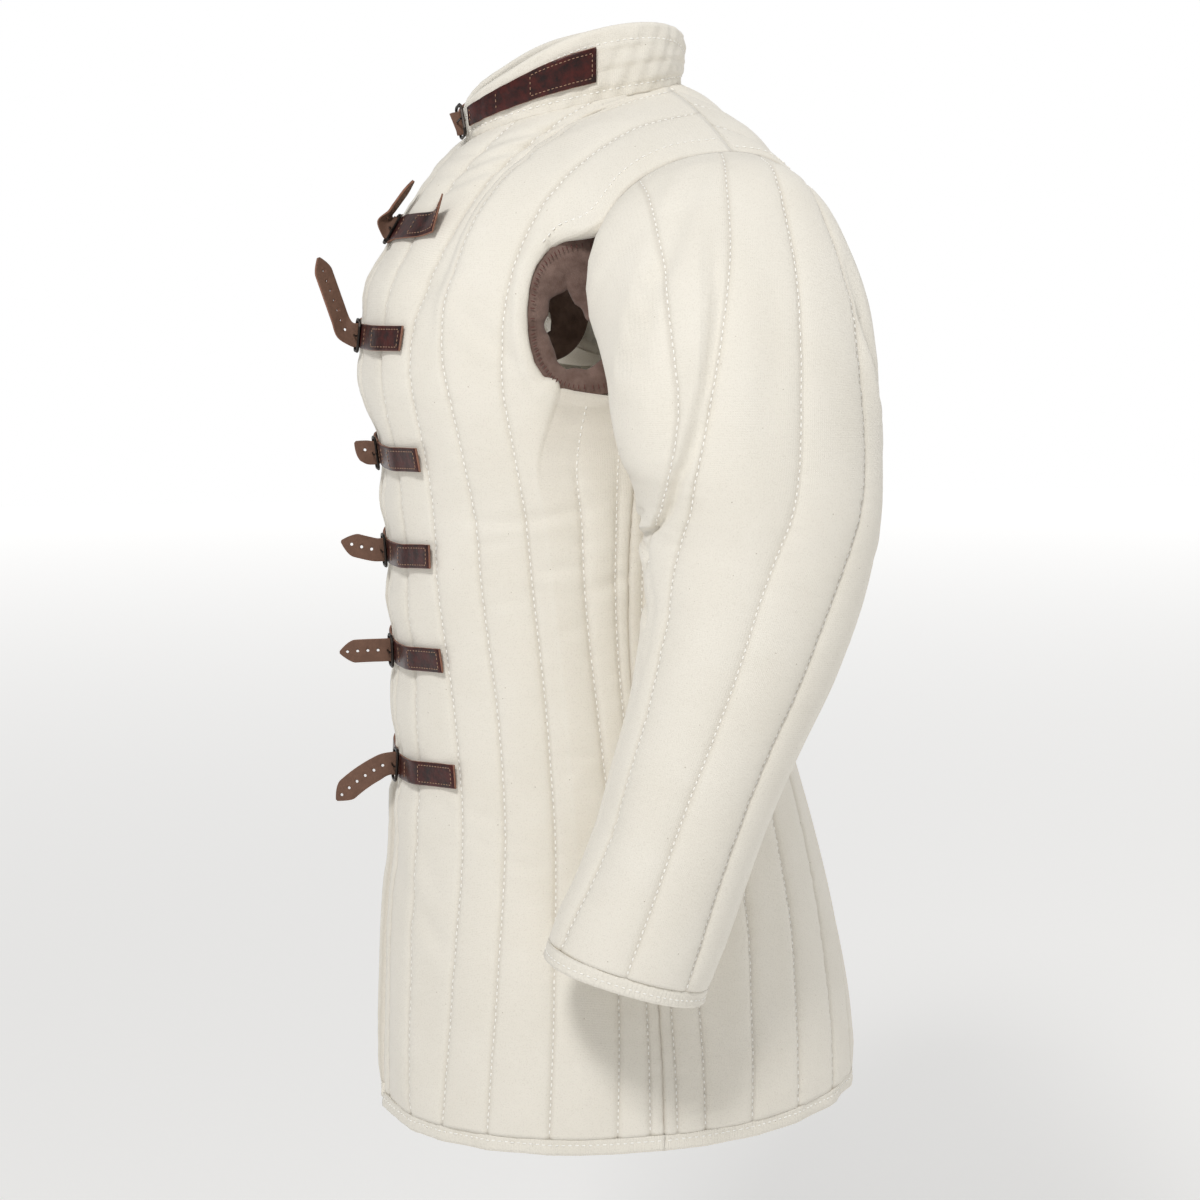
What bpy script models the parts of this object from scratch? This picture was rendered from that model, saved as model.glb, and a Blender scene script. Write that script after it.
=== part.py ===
"""Quilted gambeson: a padded cloth coat, open at the armpits and closed by buckled straps.

Metres, +Z up, the front of the garment faces -Y and the wearer's left is +X.
The origin is at the base of the neck, where the shoulders carry the garment.
"""

import math

import bmesh
import bpy
import numpy as np

WALL = 0.007  # padded cloth, measured at a quilting line
CROWN = 0.0042  # height of the padding between two quilting lines
SEAM = 0.0004  # half the gap kept at a seam
BAND = 0.012  # depth of the hem and cuff bands
HEM_Z = -0.860
HEM_RISE = 0.026  # the hem is this much higher at the middle of the back
CHEST_Z = -0.242  # height of the lowest point of the armholes
COLLAR_WALL = 0.006
COLLAR_HEIGHTS = (0.025, 0.036, 0.052, 0.045, 0.029)  # throat, front, side, nape, middle of the back
LEATHER = 0.0022
STRAP_WIDTH = 0.019
BAR = 0.0013  # radius of a buckle's bar
SLEEVE_SIDES = 32

# Body sections: height, front, back and half width, then the squareness of front and back.
SECTIONS = (
    (-0.870, -0.181, 0.233, 0.198, 2.2, 2.1),
    (-0.800, -0.181, 0.226, 0.196, 2.2, 2.1),
    (-0.740, -0.179, 0.216, 0.190, 2.2, 2.1),
    (-0.680, -0.176, 0.202, 0.182, 2.2, 2.2),
    (-0.610, -0.168, 0.183, 0.172, 2.2, 2.2),
    (-0.540, -0.165, 0.163, 0.164, 2.2, 2.3),
    (-0.470, -0.166, 0.148, 0.160, 2.2, 2.3),
    (-0.410, -0.171, 0.142, 0.160, 2.2, 2.4),
    (-0.350, -0.172, 0.143, 0.163, 2.2, 2.5),
    (-0.300, -0.179, 0.149, 0.169, 2.2, 2.7),
    (-0.240, -0.190, 0.157, 0.175, 2.2, 2.9),
)

# Quilting lines of the front: angle round the body at hem, thigh, waist and chest,
# then the two curve handles and the end that lead the line over the chest to its top.
FRONT_LINES = (
    ("edge", (6.0, 6.0, 1.5, 1.5), (0.004, -0.202, -0.170), (0.004, -0.150, -0.094), (0.004, -0.101, -0.048)),
    ("chest_1", (26, 25, 24, 24), (0.062, -0.194, -0.170), (0.056, -0.130, -0.078), (0.042, -0.076, -0.036)),
    ("chest_2", (38, 45, 40, 37), (0.098, -0.170, -0.165), (0.098, -0.104, -0.060), (0.072, -0.028, -0.022)),
    ("chest_3", (52, 59, 57, 51), (0.124, -0.155, -0.165), (0.136, -0.104, -0.036), (0.068, 0.058, -0.009)),
    ("shoulder", (68, 73, 73, 67), (0.158, -0.100, -0.155), (0.164, -0.070, -0.044), (0.132, 0.066, -0.023)),
)
# Lines of the back, from the side to the middle, in the same columns.
BACK_LINES = (
    ("blade_1", (126, 136, 140, 139), (0.150, 0.166, -0.180), (0.150, 0.150, -0.050), (0.150, 0.071, -0.031)),
    ("blade_2", (140, 152, 154, 153), (0.110, 0.188, -0.180), (0.110, 0.158, -0.035), (0.108, 0.068, -0.017)),
    ("blade_3", (154, 166, 167, 167), (0.056, 0.182, -0.180), (0.056, 0.144, -0.032), (0.064, 0.062, -0.006)),
    ("middle", (180, 180, 180, 180), (0.000, 0.180, -0.180), (0.000, 0.138, -0.030), (0.000, 0.074, 0.000)),
)
# Angles of the lines below the armhole: its front edge, two lines, the side seam, two lines, its back edge.
ARM_FRONT = (75, 79, 79, 74)
UNDER_FRONT = (83, 87, 87, 84)
SIDE = (92, 94, 96, 95)
UNDER_BACK_1 = (101, 104, 108, 107)
UNDER_BACK_2 = (112, 120, 124, 122)
ANGLE_HEIGHTS = (-0.86, -0.60, -0.41, -0.25)
NECK_SIDE = 0.78  # place of the shoulder seam along half the neckline
NECK_HALF = 0.078
NECK_DEPTH = 0.0875
NECK_MIDDLE = -0.0135
NECK_DROP = 0.048  # the throat is this much lower than the nape

# Sleeve rings: front and back edge, near and far side with the rise between them, place of the crest.
SLEEVE = (
    ((-0.027, -0.151), (0.160, -0.151), 0.1930, 0.1930, 0.096, 0.60),
    ((-0.031, -0.158), (0.168, -0.158), 0.1910, 0.2420, 0.088, 0.58),
    ((-0.031, -0.186), (0.177, -0.187), 0.1880, 0.2980, 0.062, 0.55),
    ((-0.030, -0.217), (0.180, -0.220), 0.1860, 0.3260, 0.035, 0.52),
    ((-0.028, -0.250), (0.181, -0.255), 0.1860, 0.3380, 0.012, 0.50),
    ((-0.019, -0.287), (0.183, -0.295), 0.1870, 0.3420, 0.0, 0.50),
    ((0.000, -0.320), (0.183, -0.328), 0.1880, 0.3420, 0.0, 0.50),
    ((0.009, -0.342), (0.178, -0.360), 0.1890, 0.3400, 0.0, 0.50),
    ((0.002, -0.382), (0.166, -0.407), 0.1900, 0.3370, 0.0, 0.50),
    ((-0.006, -0.428), (0.149, -0.455), 0.1910, 0.3330, 0.0, 0.50),
    ((-0.013, -0.472), (0.125, -0.503), 0.1930, 0.3290, 0.0, 0.50),
    ((-0.025, -0.518), (0.104, -0.552), 0.1960, 0.3250, 0.0, 0.50),
    ((-0.037, -0.564), (0.086, -0.600), 0.1990, 0.3210, 0.0, 0.50),
    ((-0.051, -0.610), (0.071, -0.648), 0.2010, 0.3170, 0.0, 0.50),
    ((-0.066, -0.656), (0.056, -0.694), 0.2030, 0.3140, 0.0, 0.50),
    ((-0.070, -0.668), (0.053, -0.706), 0.2030, 0.3130, 0.0, 0.50),
)
SLEEVE_FOLD = 0.010  # depth of the crease inside the elbow

# Leather oval of the armpit: middle and half sizes in Y and Z, and its squareness.
GUSSET = ((-0.025, -0.1815), (0.047, 0.0595), 2.5)
# Corners of the cut opening in it, all round.
VENT = (
    (-0.040, -0.160), (-0.034, -0.172), (-0.023, -0.186), (-0.013, -0.199), (-0.012, -0.215), (-0.026, -0.222),
    (-0.041, -0.222), (-0.048, -0.215), (-0.055, -0.200), (-0.058, -0.184), (-0.053, -0.170), (-0.045, -0.164),
)

# Straps: height at the front edge, rise of the tab and how many columns it covers,
# then pitch, yaw, length and droop of the free end.
STRAPS = (
    ("1", -0.122, 0.006, 4.6, 62, 40, 0.046, 60),
    ("2", -0.206, 0.003, 5.6, 60, -6, 0.074, -10),
    ("3", -0.302, 0.005, 6.0, 48, 10, 0.020, 0),
    ("4", -0.384, 0.010, 6.0, 24, 4, 0.038, -6),
    ("5", -0.468, 0.010, 6.0, 4, 6, 0.044, -6),
    ("6", -0.564, 0.013, 6.0, -24, 6, 0.058, -34),
)

CLOTH = (0.86, 0.83, 0.76)
SUEDE = (0.16, 0.09, 0.055)
OXBLOOD = (0.10, 0.03, 0.025)
METAL = (0.10, 0.09, 0.085)


def smooth_table(xs, ys, x):
    """Cubic reading of a table whose places xs rise."""
    xs, ys = np.asarray(xs, float), np.asarray(ys, float)
    slopes = np.gradient(ys, xs, axis=0)
    i = int(np.clip(np.searchsorted(xs, x) - 1, 0, len(xs) - 2))
    step = xs[i + 1] - xs[i]
    t = min(max((x - xs[i]) / step, 0.0), 1.0)
    a, b = 2 * t**3 - 3 * t**2 + 1, t**3 - 2 * t**2 + t
    c, d = -2 * t**3 + 3 * t**2, t**3 - t**2
    return a * ys[i] + b * step * slopes[i] + c * ys[i + 1] + d * step * slopes[i + 1]


def rounded(angle, squareness):
    """Sine and cosine of an angle in degrees, pushed out towards a square."""
    s, c = math.sin(math.radians(angle)), math.cos(math.radians(angle))
    power = 2.0 / squareness
    return math.copysign(abs(s) ** power, s), math.copysign(abs(c) ** power, c)


def body_point(angle, z):
    """Point of the body at an angle from the middle of the front, in degrees, and a height."""
    rows = np.array(SECTIONS)
    front, back, half, square_f, square_b = smooth_table(rows[:, 0], rows[:, 1:], z)
    s, c = rounded(angle, square_f if angle < 90 else square_b)
    middle = (front + back) / 2
    return np.array((half * s, middle - (back - front) / 2 * c, z))


def angle_at(angles, z):
    return smooth_table(ANGLE_HEIGHTS, angles, min(max(z, ANGLE_HEIGHTS[0]), ANGLE_HEIGHTS[-1]))


def neck_point(t):
    """Neckline, from the middle of the front at t=0 to the middle of the back at t=1."""
    s, c = rounded(180 * t, 2.15)
    y = NECK_MIDDLE - NECK_DEPTH * c
    rise = max((1 - c) / 2, 0.0) ** 0.6
    return np.array((NECK_HALF * s, y, NECK_DROP * (rise - 1)))


def sleeve_point(ring, turn, inward=0.0):
    """Point of a sleeve ring: turn 0 is the front, 90 the crest, 180 the back, 270 the armpit side."""
    front, back, near, far, rise, crest = ring
    s, c = rounded(turn, 2.1)
    y0, z0 = (np.array(back) - front) * crest + front
    reach = np.array(front) - (y0, z0) if c > 0 else np.array(back) - (y0, z0)
    length = max(np.linalg.norm(reach), 1e-6)
    reach = reach * (1 - inward / length)
    side = np.array(((far - near) / 2, rise))
    side = side * (1 - inward / np.linalg.norm(side))
    return np.array(((near + far) / 2 + side[0] * s, y0 + reach[0] * abs(c), z0 + reach[1] * abs(c) + side[1] * s))


def armhole_point(turn):
    """Edge of the body at the sleeve seam."""
    point = sleeve_point(SLEEVE[0], turn)
    point[0] = SLEEVE[0][2] - 2 * SEAM
    return point


def shoulder_point(share, seam):
    """Shoulder seam from the neck at 0 to the tip at 1, moved by seam along Y."""
    neck, tip = neck_point(NECK_SIDE) - (0.0, 0.0, 0.0006), armhole_point(90.0)
    return neck + (tip - neck) * share + (0.0, seam, 0.022 * share * (1 - share))


def set_top(column, target):
    """Moves the upper part of a column smoothly so that it ends at target."""
    shift = target - column[-1]
    for k in range(UPPER):
        column[-1 - k] = column[-1 - k] + shift * (1 - k / UPPER) ** 2


def clear_collar(column):
    """Keeps the upper part of a column outside the collar."""
    for k in range(1, 6):
        point = column[-1 - k]
        reach = math.hypot(point[0] / NECK_HALF, (point[1] - NECK_MIDDLE) / NECK_DEPTH)
        least = 1.0 + 0.055 * k
        if reach < least:
            middle = np.array((0.0, NECK_MIDDLE))
            column[-1 - k][:2] = middle + (point[:2] - middle) * least / max(reach, 0.1)


def gusset_point(turn, scale=1.0):
    (y, z), (half_y, half_z), square = GUSSET
    s, c = rounded(turn, square)
    return np.array((0.170 + 0.003 * (s < 0), y - half_y * c * scale, z + half_z * s * scale))


def bezier(a, b, c, d, t):
    return (1 - t) ** 3 * a + 3 * t * (1 - t) ** 2 * b + 3 * t * t * (1 - t) * c + t**3 * d


def lower_rows(angles, heights):
    """One line from the hem to the chest; the hem rises towards the back."""
    rise = HEM_RISE * (angles[0] / 180) ** 1.3
    lifted = [z + rise * (CHEST_Z - z) / (CHEST_Z - HEM_Z) for z in heights]
    return [body_point(angle_at(angles, z), z) for z in lifted]


def line_rows(line, heights, steps):
    """One quilting line from the hem over the chest or back to its top."""
    _, angles, handle_1, handle_2, top = line
    rows = lower_rows(angles, heights)
    start = rows[-1]
    ends = [np.array(p, float) for p in (handle_1, handle_2, top)]
    return rows + [bezier(start, *ends, i / steps) for i in range(1, steps + 1)]


def between(a, b, share):
    """A line between two lines of points."""
    return [p * (1 - share) + q * share for p, q in zip(a, b)]


def normals_of(grid):
    """Unit normals of a grid of points [column][row], outwards for columns that go from front to back."""
    g = np.array(grid)
    across, along = np.gradient(g, axis=0), np.gradient(g, axis=1)
    n = np.cross(across, along)
    return n / np.maximum(np.linalg.norm(n, axis=2, keepdims=True), 1e-9)


def wall_mesh(outer, inner, closed):
    """Closed wall between two grids [column][row]; closed walls join the last column to the first."""
    bm = bmesh.new()
    columns, rows = len(outer), len(outer[0])
    out = [[bm.verts.new(p) for p in column] for column in outer]
    ins = [[bm.verts.new(p) for p in column] for column in inner]
    for i in range(columns if closed else columns - 1):
        j = (i + 1) % columns
        for k in range(rows - 1):
            bm.faces.new((out[i][k], out[j][k], out[j][k + 1], out[i][k + 1]))
            bm.faces.new((ins[i][k], ins[i][k + 1], ins[j][k + 1], ins[j][k]))
        bm.faces.new((out[i][0], ins[i][0], ins[j][0], out[j][0]))
        bm.faces.new((out[i][-1], out[j][-1], ins[j][-1], ins[i][-1]))
    if not closed:
        for k in range(rows - 1):
            bm.faces.new((out[0][k], out[0][k + 1], ins[0][k + 1], ins[0][k]))
            bm.faces.new((out[-1][k], ins[-1][k], ins[-1][k + 1], out[-1][k + 1]))
    bmesh.ops.recalc_face_normals(bm, faces=bm.faces)
    return bm


def material(name, colour, roughness, metallic=0.0):
    m = bpy.data.materials.new(name)
    m.use_nodes = True
    shader = m.node_tree.nodes["Principled BSDF"]
    shader.inputs["Base Color"].default_value = (*colour, 1.0)
    shader.inputs["Roughness"].default_value = roughness
    shader.inputs["Metallic"].default_value = metallic
    return m


def add_object(name, bm, colour, roughness, metallic=0.0, mirror=False):
    """Links the mesh as a named object; mirror flips it to the other side of the garment."""
    if mirror:
        bmesh.ops.scale(bm, vec=(-1, 1, 1), verts=bm.verts)
        bmesh.ops.reverse_faces(bm, faces=bm.faces)
    mesh = bpy.data.meshes.new(name)
    bm.to_mesh(mesh)
    bm.free()
    mesh.shade_smooth()
    mesh.materials.append(material(name, colour, roughness, metallic))
    ob = bpy.data.objects.new(name, mesh)
    bpy.data.collections["gambeson"].objects.link(ob)
    return ob


def crown_of(columns):
    """Share of the padding's height for each column: 0 on a quilting line, 1 midway in a channel."""
    return [math.sin(math.pi * c) ** 0.7 if 0 < c < 1 else 0.0 for c in columns]


def padded(grid, crowns, fade_top=2, seam_columns=(), seam_tops=(), arm_edges=(), rim=(), neck=()):
    """Outer and inner points of a padded panel over its base grid [column][row].

    Along a side or shoulder seam the wall is square to Y, along the sleeve seam to X, and at the rim
    of the leather oval it goes straight in, and at the neckline it goes down and in under the collar,
    so the pieces that meet there stay apart.
    """
    normals = normals_of(grid)
    square = [(i, k) for i in seam_columns for k in range(len(grid[0]))] + [(i, len(grid[0]) - 1) for i in seam_tops]
    for i, k in square:
        n = normals[i][k] * (1, 0, 1)
        normals[i][k] = n / np.linalg.norm(n)
    for i, first in arm_edges:
        for k in range(first, len(grid[0])):
            n = normals[i][k] * (0, 1, 1)
            normals[i][k] = n / np.linalg.norm(n)
    for i, k in rim:
        normals[i][k] = (math.copysign(1.0, grid[i][k][0]), 0.0, 0.0)
    for i in neck:
        n = grid[i][-1] - (0.0, NECK_MIDDLE, grid[i][-1][2])
        normals[i][-1] = 0.6 * n / np.linalg.norm(n) + (0.0, 0.0, 0.8)
    rows = len(grid[0])
    outer, inner = [], []
    for i, column in enumerate(grid):
        puffs = []
        for k in range(rows):
            fade = min(1.0, (rows - 1 - k) / fade_top)
            puffs.append(CROWN * crowns[i] * fade)
        outer.append([p + normals[i][k] * puffs[k] for k, p in enumerate(column)])
        inner.append([p - normals[i][k] * WALL for k, p in enumerate(column)])
    return outer, inner


LOWER = np.linspace(HEM_Z + BAND + SEAM, CHEST_Z - 0.005, 13)
UPPER = 10


def front_columns():
    """Base grid of the left front, its crowns, and the lower strip under the armhole."""
    lines = [line_rows(line, LOWER, UPPER) for line in FRONT_LINES]
    for k, z in enumerate(LOWER):
        for strap in STRAPS:
            lines[0][k][1] += 0.004 * math.exp(-(((z - strap[1]) / 0.022) ** 2))
    grid, crowns = [], []
    for i, (a, b) in enumerate(zip(lines, lines[1:])):
        for share in (0.0, 1 / 3, 2 / 3):
            grid.append(between(a, b, share))
            crowns.append(share)
    crowns[1] = 0.12  # the padding is held down beside the front edge
    grid.append(lines[-1])
    crowns.append(0.0)
    edge = lower_rows(ARM_FRONT, LOWER)
    edge[-1] = gusset_point(-67.5)
    edge += [gusset_point(t) for t in (-45.0, -22.5, 0.0, 22.5, 45.0, 67.5)]
    edge += [armhole_point(t) for t in (22.5, 45.0, 67.5, 90.0)]
    grid += [between(grid[-1], edge, 0.5), edge]
    crowns += [0.3, 0.0]
    grid = [[np.array(p) for p in column] for column in grid]
    tops = [neck_point(t) - (0.0, 0.0, 0.0006) for t in (0.0, 0.10, 0.20, 0.30, 0.37, 0.44, 0.52, 0.64)]
    tops[0][0] = 0.004
    tops += [shoulder_point(s, -SEAM) for s in (0.0, 0.12, 0.25, 0.38, 0.52, 0.76, 1.0)]
    for column, top in zip(grid, tops):
        set_top(column, top)
        clear_collar(column)
    under = lower_rows(UNDER_FRONT, LOWER)
    under[-1] = gusset_point(-90.0)
    side = lower_rows(SIDE, LOWER)
    low = [edge[: len(LOWER)], between(edge, under, 0.5), under[: len(LOWER)], between(under, side, 0.5), side]
    low = [[np.array(p) for p in column[: len(LOWER)]] for column in low]
    low[-1] = [p - (0.0, SEAM, 0.0) for p in low[-1]]
    return grid, crowns, low, [0.0, 0.45, 0.0, 0.5, 0.0]


def join_strips(grid, crowns, low, low_crowns):
    """Outer and inner points of a panel whose lower strip passes under the armhole."""
    outer, inner = padded(grid, crown_of(crowns), seam_tops=range(8, len(grid)),
                          arm_edges=((-1, len(LOWER) + 6),), neck=range(8),
                          rim=[(-1, k) for k in range(len(LOWER) - 1, len(LOWER) + 6)])
    full = [column[: len(LOWER)] for column in grid] + low[1:]
    wide_crowns = crown_of(crowns + low_crowns[1:])
    low_outer, low_inner = padded(full, wide_crowns, fade_top=1, seam_columns=(-1,),
                                  rim=[(-i, -1) for i in range(1, len(low) + 1)])
    keep = len(grid)
    for i in range(keep):
        for k in range(len(LOWER) - 1):
            outer[i][k], inner[i][k] = low_outer[i][k], low_inner[i][k]
    return outer, inner, low_outer[keep:], low_inner[keep:]


def panel_mesh(outer, inner, low_outer, low_inner):
    """Panel made of full-height columns followed by columns that stop at the armhole."""
    bm = bmesh.new()
    height, low = len(outer[0]), len(low_outer[0])
    sheets = []
    for tall, short in ((outer, low_outer), (inner, low_inner)):
        sheets.append([[bm.verts.new(p) for p in column] for column in list(tall) + list(short)])
    out, ins = sheets
    edges = set()
    for i in range(len(out) - 1):
        rows = min(len(out[i]), len(out[i + 1]))
        for k in range(rows - 1):
            bm.faces.new((out[i][k], out[i + 1][k], out[i + 1][k + 1], out[i][k + 1]))
            bm.faces.new((ins[i][k], ins[i][k + 1], ins[i + 1][k + 1], ins[i + 1][k]))
    twin = {a: b for c, d in zip(out, ins) for a, b in zip(c, d)}
    for edge in [e for e in bm.edges if len(e.link_faces) == 1 and e.verts[0] in twin]:
        edges.add((edge.verts[0], edge.verts[1]))
    for a, b in edges:
        bm.faces.new((a, b, twin[b], twin[a]))
    bmesh.ops.recalc_face_normals(bm, faces=bm.faces)
    if bm.calc_volume(signed=True) < 0:
        bmesh.ops.reverse_faces(bm, faces=bm.faces)
    return bm


def back_columns():
    """Base grid of the left half of the back from its middle to the armhole, and the lower strip."""
    lines = [line_rows(line, LOWER, UPPER) for line in reversed(BACK_LINES)]
    grid, crowns = [], []
    for a, b in zip(lines, lines[1:]):
        for share in (0.0, 1 / 3, 2 / 3):
            grid.append(between(a, b, share))
            crowns.append(share)
    grid.append(lines[-1])
    crowns.append(0.0)
    edge = lower_rows(UNDER_BACK_2, LOWER)
    edge += [body_point(UNDER_BACK_2[-1] + 6, -0.236) + (0.014, 0.012, 0.002)]
    edge += [armhole_point(t) for t in (236.25, 225.0, 213.75, 202.5, 180.0, 157.5, 135.0, 112.5, 90.0)]
    grid += [between(grid[-1], edge, 0.5), edge]
    crowns += [0.5, 0.0]
    grid = [[np.array(p) for p in column] for column in grid]
    tops = [neck_point(t) - (0.0, 0.0, 0.0006) for t in (1.0, 0.93, 0.85)]
    tops += [shoulder_point(s, SEAM) for s in (0.0, 0.12, 0.24, 0.36, 0.47, 0.58, 0.69, 0.84, 1.0)]
    for column, top in zip(grid, tops):
        set_top(column, top)
        clear_collar(column)
    under = lower_rows(UNDER_BACK_1, LOWER)
    side = [p + (0.0, SEAM, 0.0) for p in lower_rows(SIDE, LOWER)]
    low = [edge[: len(LOWER)], between(edge, under, 0.5), under, between(under, side, 0.5), side]
    low = [[np.array(p) for p in column[: len(LOWER)]] for column in low]
    return grid, crowns, low, [0.0, 0.5, 0.0, 0.5, 0.0]


def band(grid, name, mirror=False):
    """Hem band under a panel's lower edge, from the panel's own lowest points."""
    base = [[p - (0.0, 0.0, drop) for drop in (BAND, BAND / 2, 4 * SEAM)] for p in (column[0] for column in grid)]
    normals = normals_of(base)
    outer = [[p + n * 0.0012 for p, n in zip(c, m)] for c, m in zip(base, normals)]
    inner = [[p - n * (WALL - 0.001) for p, n in zip(c, m)] for c, m in zip(base, normals)]
    return add_object(name, wall_mesh(outer, inner, False), CLOTH, 0.9, mirror=mirror)


def build_fronts():
    grid, crowns, low, low_crowns = front_columns()
    outer, inner, low_outer, low_inner = join_strips(grid, crowns, low, low_crowns)
    add_object("front_left", panel_mesh(outer, inner, low_outer, low_inner), CLOTH, 0.9)
    band(grid + low[1:], "front_left_hem")
    right = [[np.array(p) for p in column] for column in outer]
    right_inner = [[np.array(p) for p in column] for column in inner]
    for rows in (right, right_inner):
        for k, p in enumerate(rows[0]):
            p[0] = 0.0012 + 0.0028 * k / (len(rows[0]) - 1)
    add_object("front_right", panel_mesh(right, right_inner, low_outer, low_inner), CLOTH, 0.9, mirror=True)
    edge = [[np.array(p) for p in column] for column in grid]
    for k, p in enumerate(edge[0]):
        p[0] = right[0][k][0]
    band(edge + low[1:], "front_right_hem", mirror=True)
    return outer, right


def build_back():
    grid, crowns, low, low_crowns = back_columns()
    mirrored = [[p * (-1, 1, 1) for p in column] for column in reversed(grid[1:])]
    tall = mirrored + grid
    tall_crowns = list(reversed(crowns[1:])) + crowns
    strip = low[1:]
    low_left = [[p * (-1, 1, 1) for p in column] for column in reversed(strip)]
    full = low_left + [column[: len(LOWER)] for column in tall] + strip
    full_crowns = crown_of(list(reversed(low_crowns[1:])) + tall_crowns + low_crowns[1:])
    # Columns run from the right to the left, so the normals point inwards and are turned here.
    full_outer, full_inner = padded(list(reversed(full)), list(reversed(full_crowns)), fade_top=1, seam_columns=(0, -1))
    seam_tops = [i for i in range(len(tall)) if abs(i - len(grid) + 1) > 2]
    outer, inner = padded(list(reversed(tall)), crown_of(list(reversed(tall_crowns))), seam_tops=seam_tops,
                          arm_edges=((0, len(LOWER)), (-1, len(LOWER))), neck=range(len(grid) - 3, len(grid) + 2))
    n = len(strip)
    for i in range(len(tall)):
        for k in range(len(LOWER) - 1):
            outer[i][k], inner[i][k] = full_outer[i + n][k], full_inner[i + n][k]
    sheets = ([*full_outer[:n], *outer, *full_outer[n + len(tall):]],
              [*full_inner[:n], *inner, *full_inner[n + len(tall):]])
    add_object("back", panel_mesh(sheets[0], sheets[1], [sheets[0][-1]], [sheets[1][-1]]), CLOTH, 0.9)
    band(list(reversed(full)), "back_hem")


def build_collar():
    """Stand collar on the neckline, open at the front."""
    ends = np.linspace(0.020, 1.980, 39)
    outer, inner = [], []
    for t in ends:
        base = neck_point(t if t <= 1 else 2 - t)
        side = 1 if t <= 1 else -1
        flat = np.array((base[0], base[1] - NECK_MIDDLE, 0.0))
        out = flat / np.linalg.norm(flat)
        near = min(t, 2 - t)
        height = float(smooth_table((0, 0.25, 0.5, 0.8, 1.0), COLLAR_HEIGHTS, near))
        for grid, offset in ((outer, 0.0), (inner, COLLAR_WALL)):
            column = []
            for share in (0.0, 0.25, 0.5, 0.75, 1.0):
                puff = 0.0015 * math.sin(math.pi * share) * (1 if offset == 0.0 else 0)
                p = base + out * (puff - offset + 0.003 * share) + (0.0, 0.0, 0.0005 + height * share)
                column.append(p * (side, 1, 1))
            grid.append(column)
    bm = wall_mesh(outer, inner, False)
    if bm.calc_volume(signed=True) < 0:
        bmesh.ops.reverse_faces(bm, faces=bm.faces)
    add_object("collar", bm, CLOTH, 0.9)
    return outer


def sleeve_grids():
    """Outer and inner points of the left sleeve and of its cuff, quilted from head to cuff."""
    outer, inner = [], []
    for i in range(SLEEVE_SIDES):
        turn = 360 * i / SLEEVE_SIDES
        channel = (i % 3) / 3 if i < 30 else (i - 30) / 2
        column, back = [], []
        for k, ring in enumerate(SLEEVE):
            fade = min(1.0, k / 2) * min(1.0, (len(SLEEVE) - 2 - k) / 1.0 if k < len(SLEEVE) - 2 else 0.0)
            puff = CROWN * crown_of([channel])[0] * fade
            if k in (6, 7) and (turn < 60 or turn > 300):
                puff -= SLEEVE_FOLD * math.cos(math.radians(turn)) ** 2 * (0.6 if k == 6 else 0.4)
            column.append(sleeve_point(ring, turn, -puff))
            back.append(sleeve_point(ring, turn, WALL + max(0.0, -puff)))
        outer.append(column)
        inner.append(back)
    return outer, inner


def build_sleeves():
    outer, inner = sleeve_grids()
    for side, mirror in (("left", False), ("right", True)):
        tube = wall_mesh([c[:-1] for c in outer], [c[:-1] for c in inner], True)
        add_object(f"sleeve_{side}", tube, CLOTH, 0.9, mirror=mirror)
        cuff_outer, cuff_inner = [], []
        for c, d in zip(outer, inner):
            step = (c[-1] - c[-2]) / np.linalg.norm(c[-1] - c[-2])
            start, end = c[-2] + step * 2 * SEAM, c[-1]
            cuff_outer.append([start, (start + end) / 2, end])
            start, end = d[-2] + step * 2 * SEAM, d[-1]
            cuff_inner.append([start, (start + end) / 2, end])
        add_object(f"cuff_{side}", wall_mesh(cuff_outer, cuff_inner, True), CLOTH, 0.9, mirror=mirror)


def build_gussets():
    """Leather oval inside the armhole's edge, with a ragged opening cut through it."""
    centre = np.mean(VENT, axis=0)
    for side, mirror in (("left", False), ("right", True)):
        outer, inner = [], []
        vent = np.array(VENT) - centre
        turns = np.arctan2(vent[:, 1], -vent[:, 0])
        order = np.argsort(turns)
        for turn in np.arange(-180, 180, 22.5):
            rim = gusset_point(turn, 0.992)
            rim[0] -= 0.0018
            angle = math.atan2(rim[2] - centre[1], -(rim[1] - centre[0]))
            hole = [np.interp(angle, turns[order], vent[order, axis] + centre[axis], period=2 * math.pi) for axis in (0, 1)]
            edge = np.array((rim[0] - 0.002, *hole))
            column = [rim * (1 - s) + edge * s + (0.002 * math.sin(math.pi * s), 0, 0) for s in (0, 0.5, 1)]
            outer.append(column)
            inner.append([p - (LEATHER, 0, 0) for p in column])
        add_object(f"gusset_{side}", wall_mesh(outer, inner, True), SUEDE, 0.85, mirror=mirror)


def on_panel(grid, place, z):
    """Point on a panel's faceted outer side, at a place counted in columns and a height."""
    points = []
    for i in {int(place), math.ceil(place)}:
        column = np.array(grid[i])
        k = int(np.clip(np.searchsorted(column[:, 2], z) - 1, 0, len(column) - 2))
        t = (z - column[k, 2]) / (column[k + 1, 2] - column[k, 2])
        weight = 1 - abs(place - i)
        points.append(weight * (column[k] * (1 - t) + column[k + 1] * t))
    return sum(points)


def on_collar(grid, place, share):
    """Point on one half of the collar, at a place counted in columns and a share of its height."""
    points = []
    for i in {int(place), math.ceil(place)}:
        column = np.array(grid[i])
        k = min(int(share * 4), 3)
        t = share * 4 - k
        points.append((1 - abs(place - i)) * (column[k] * (1 - t) + column[k + 1] * t))
    return sum(points)


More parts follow.
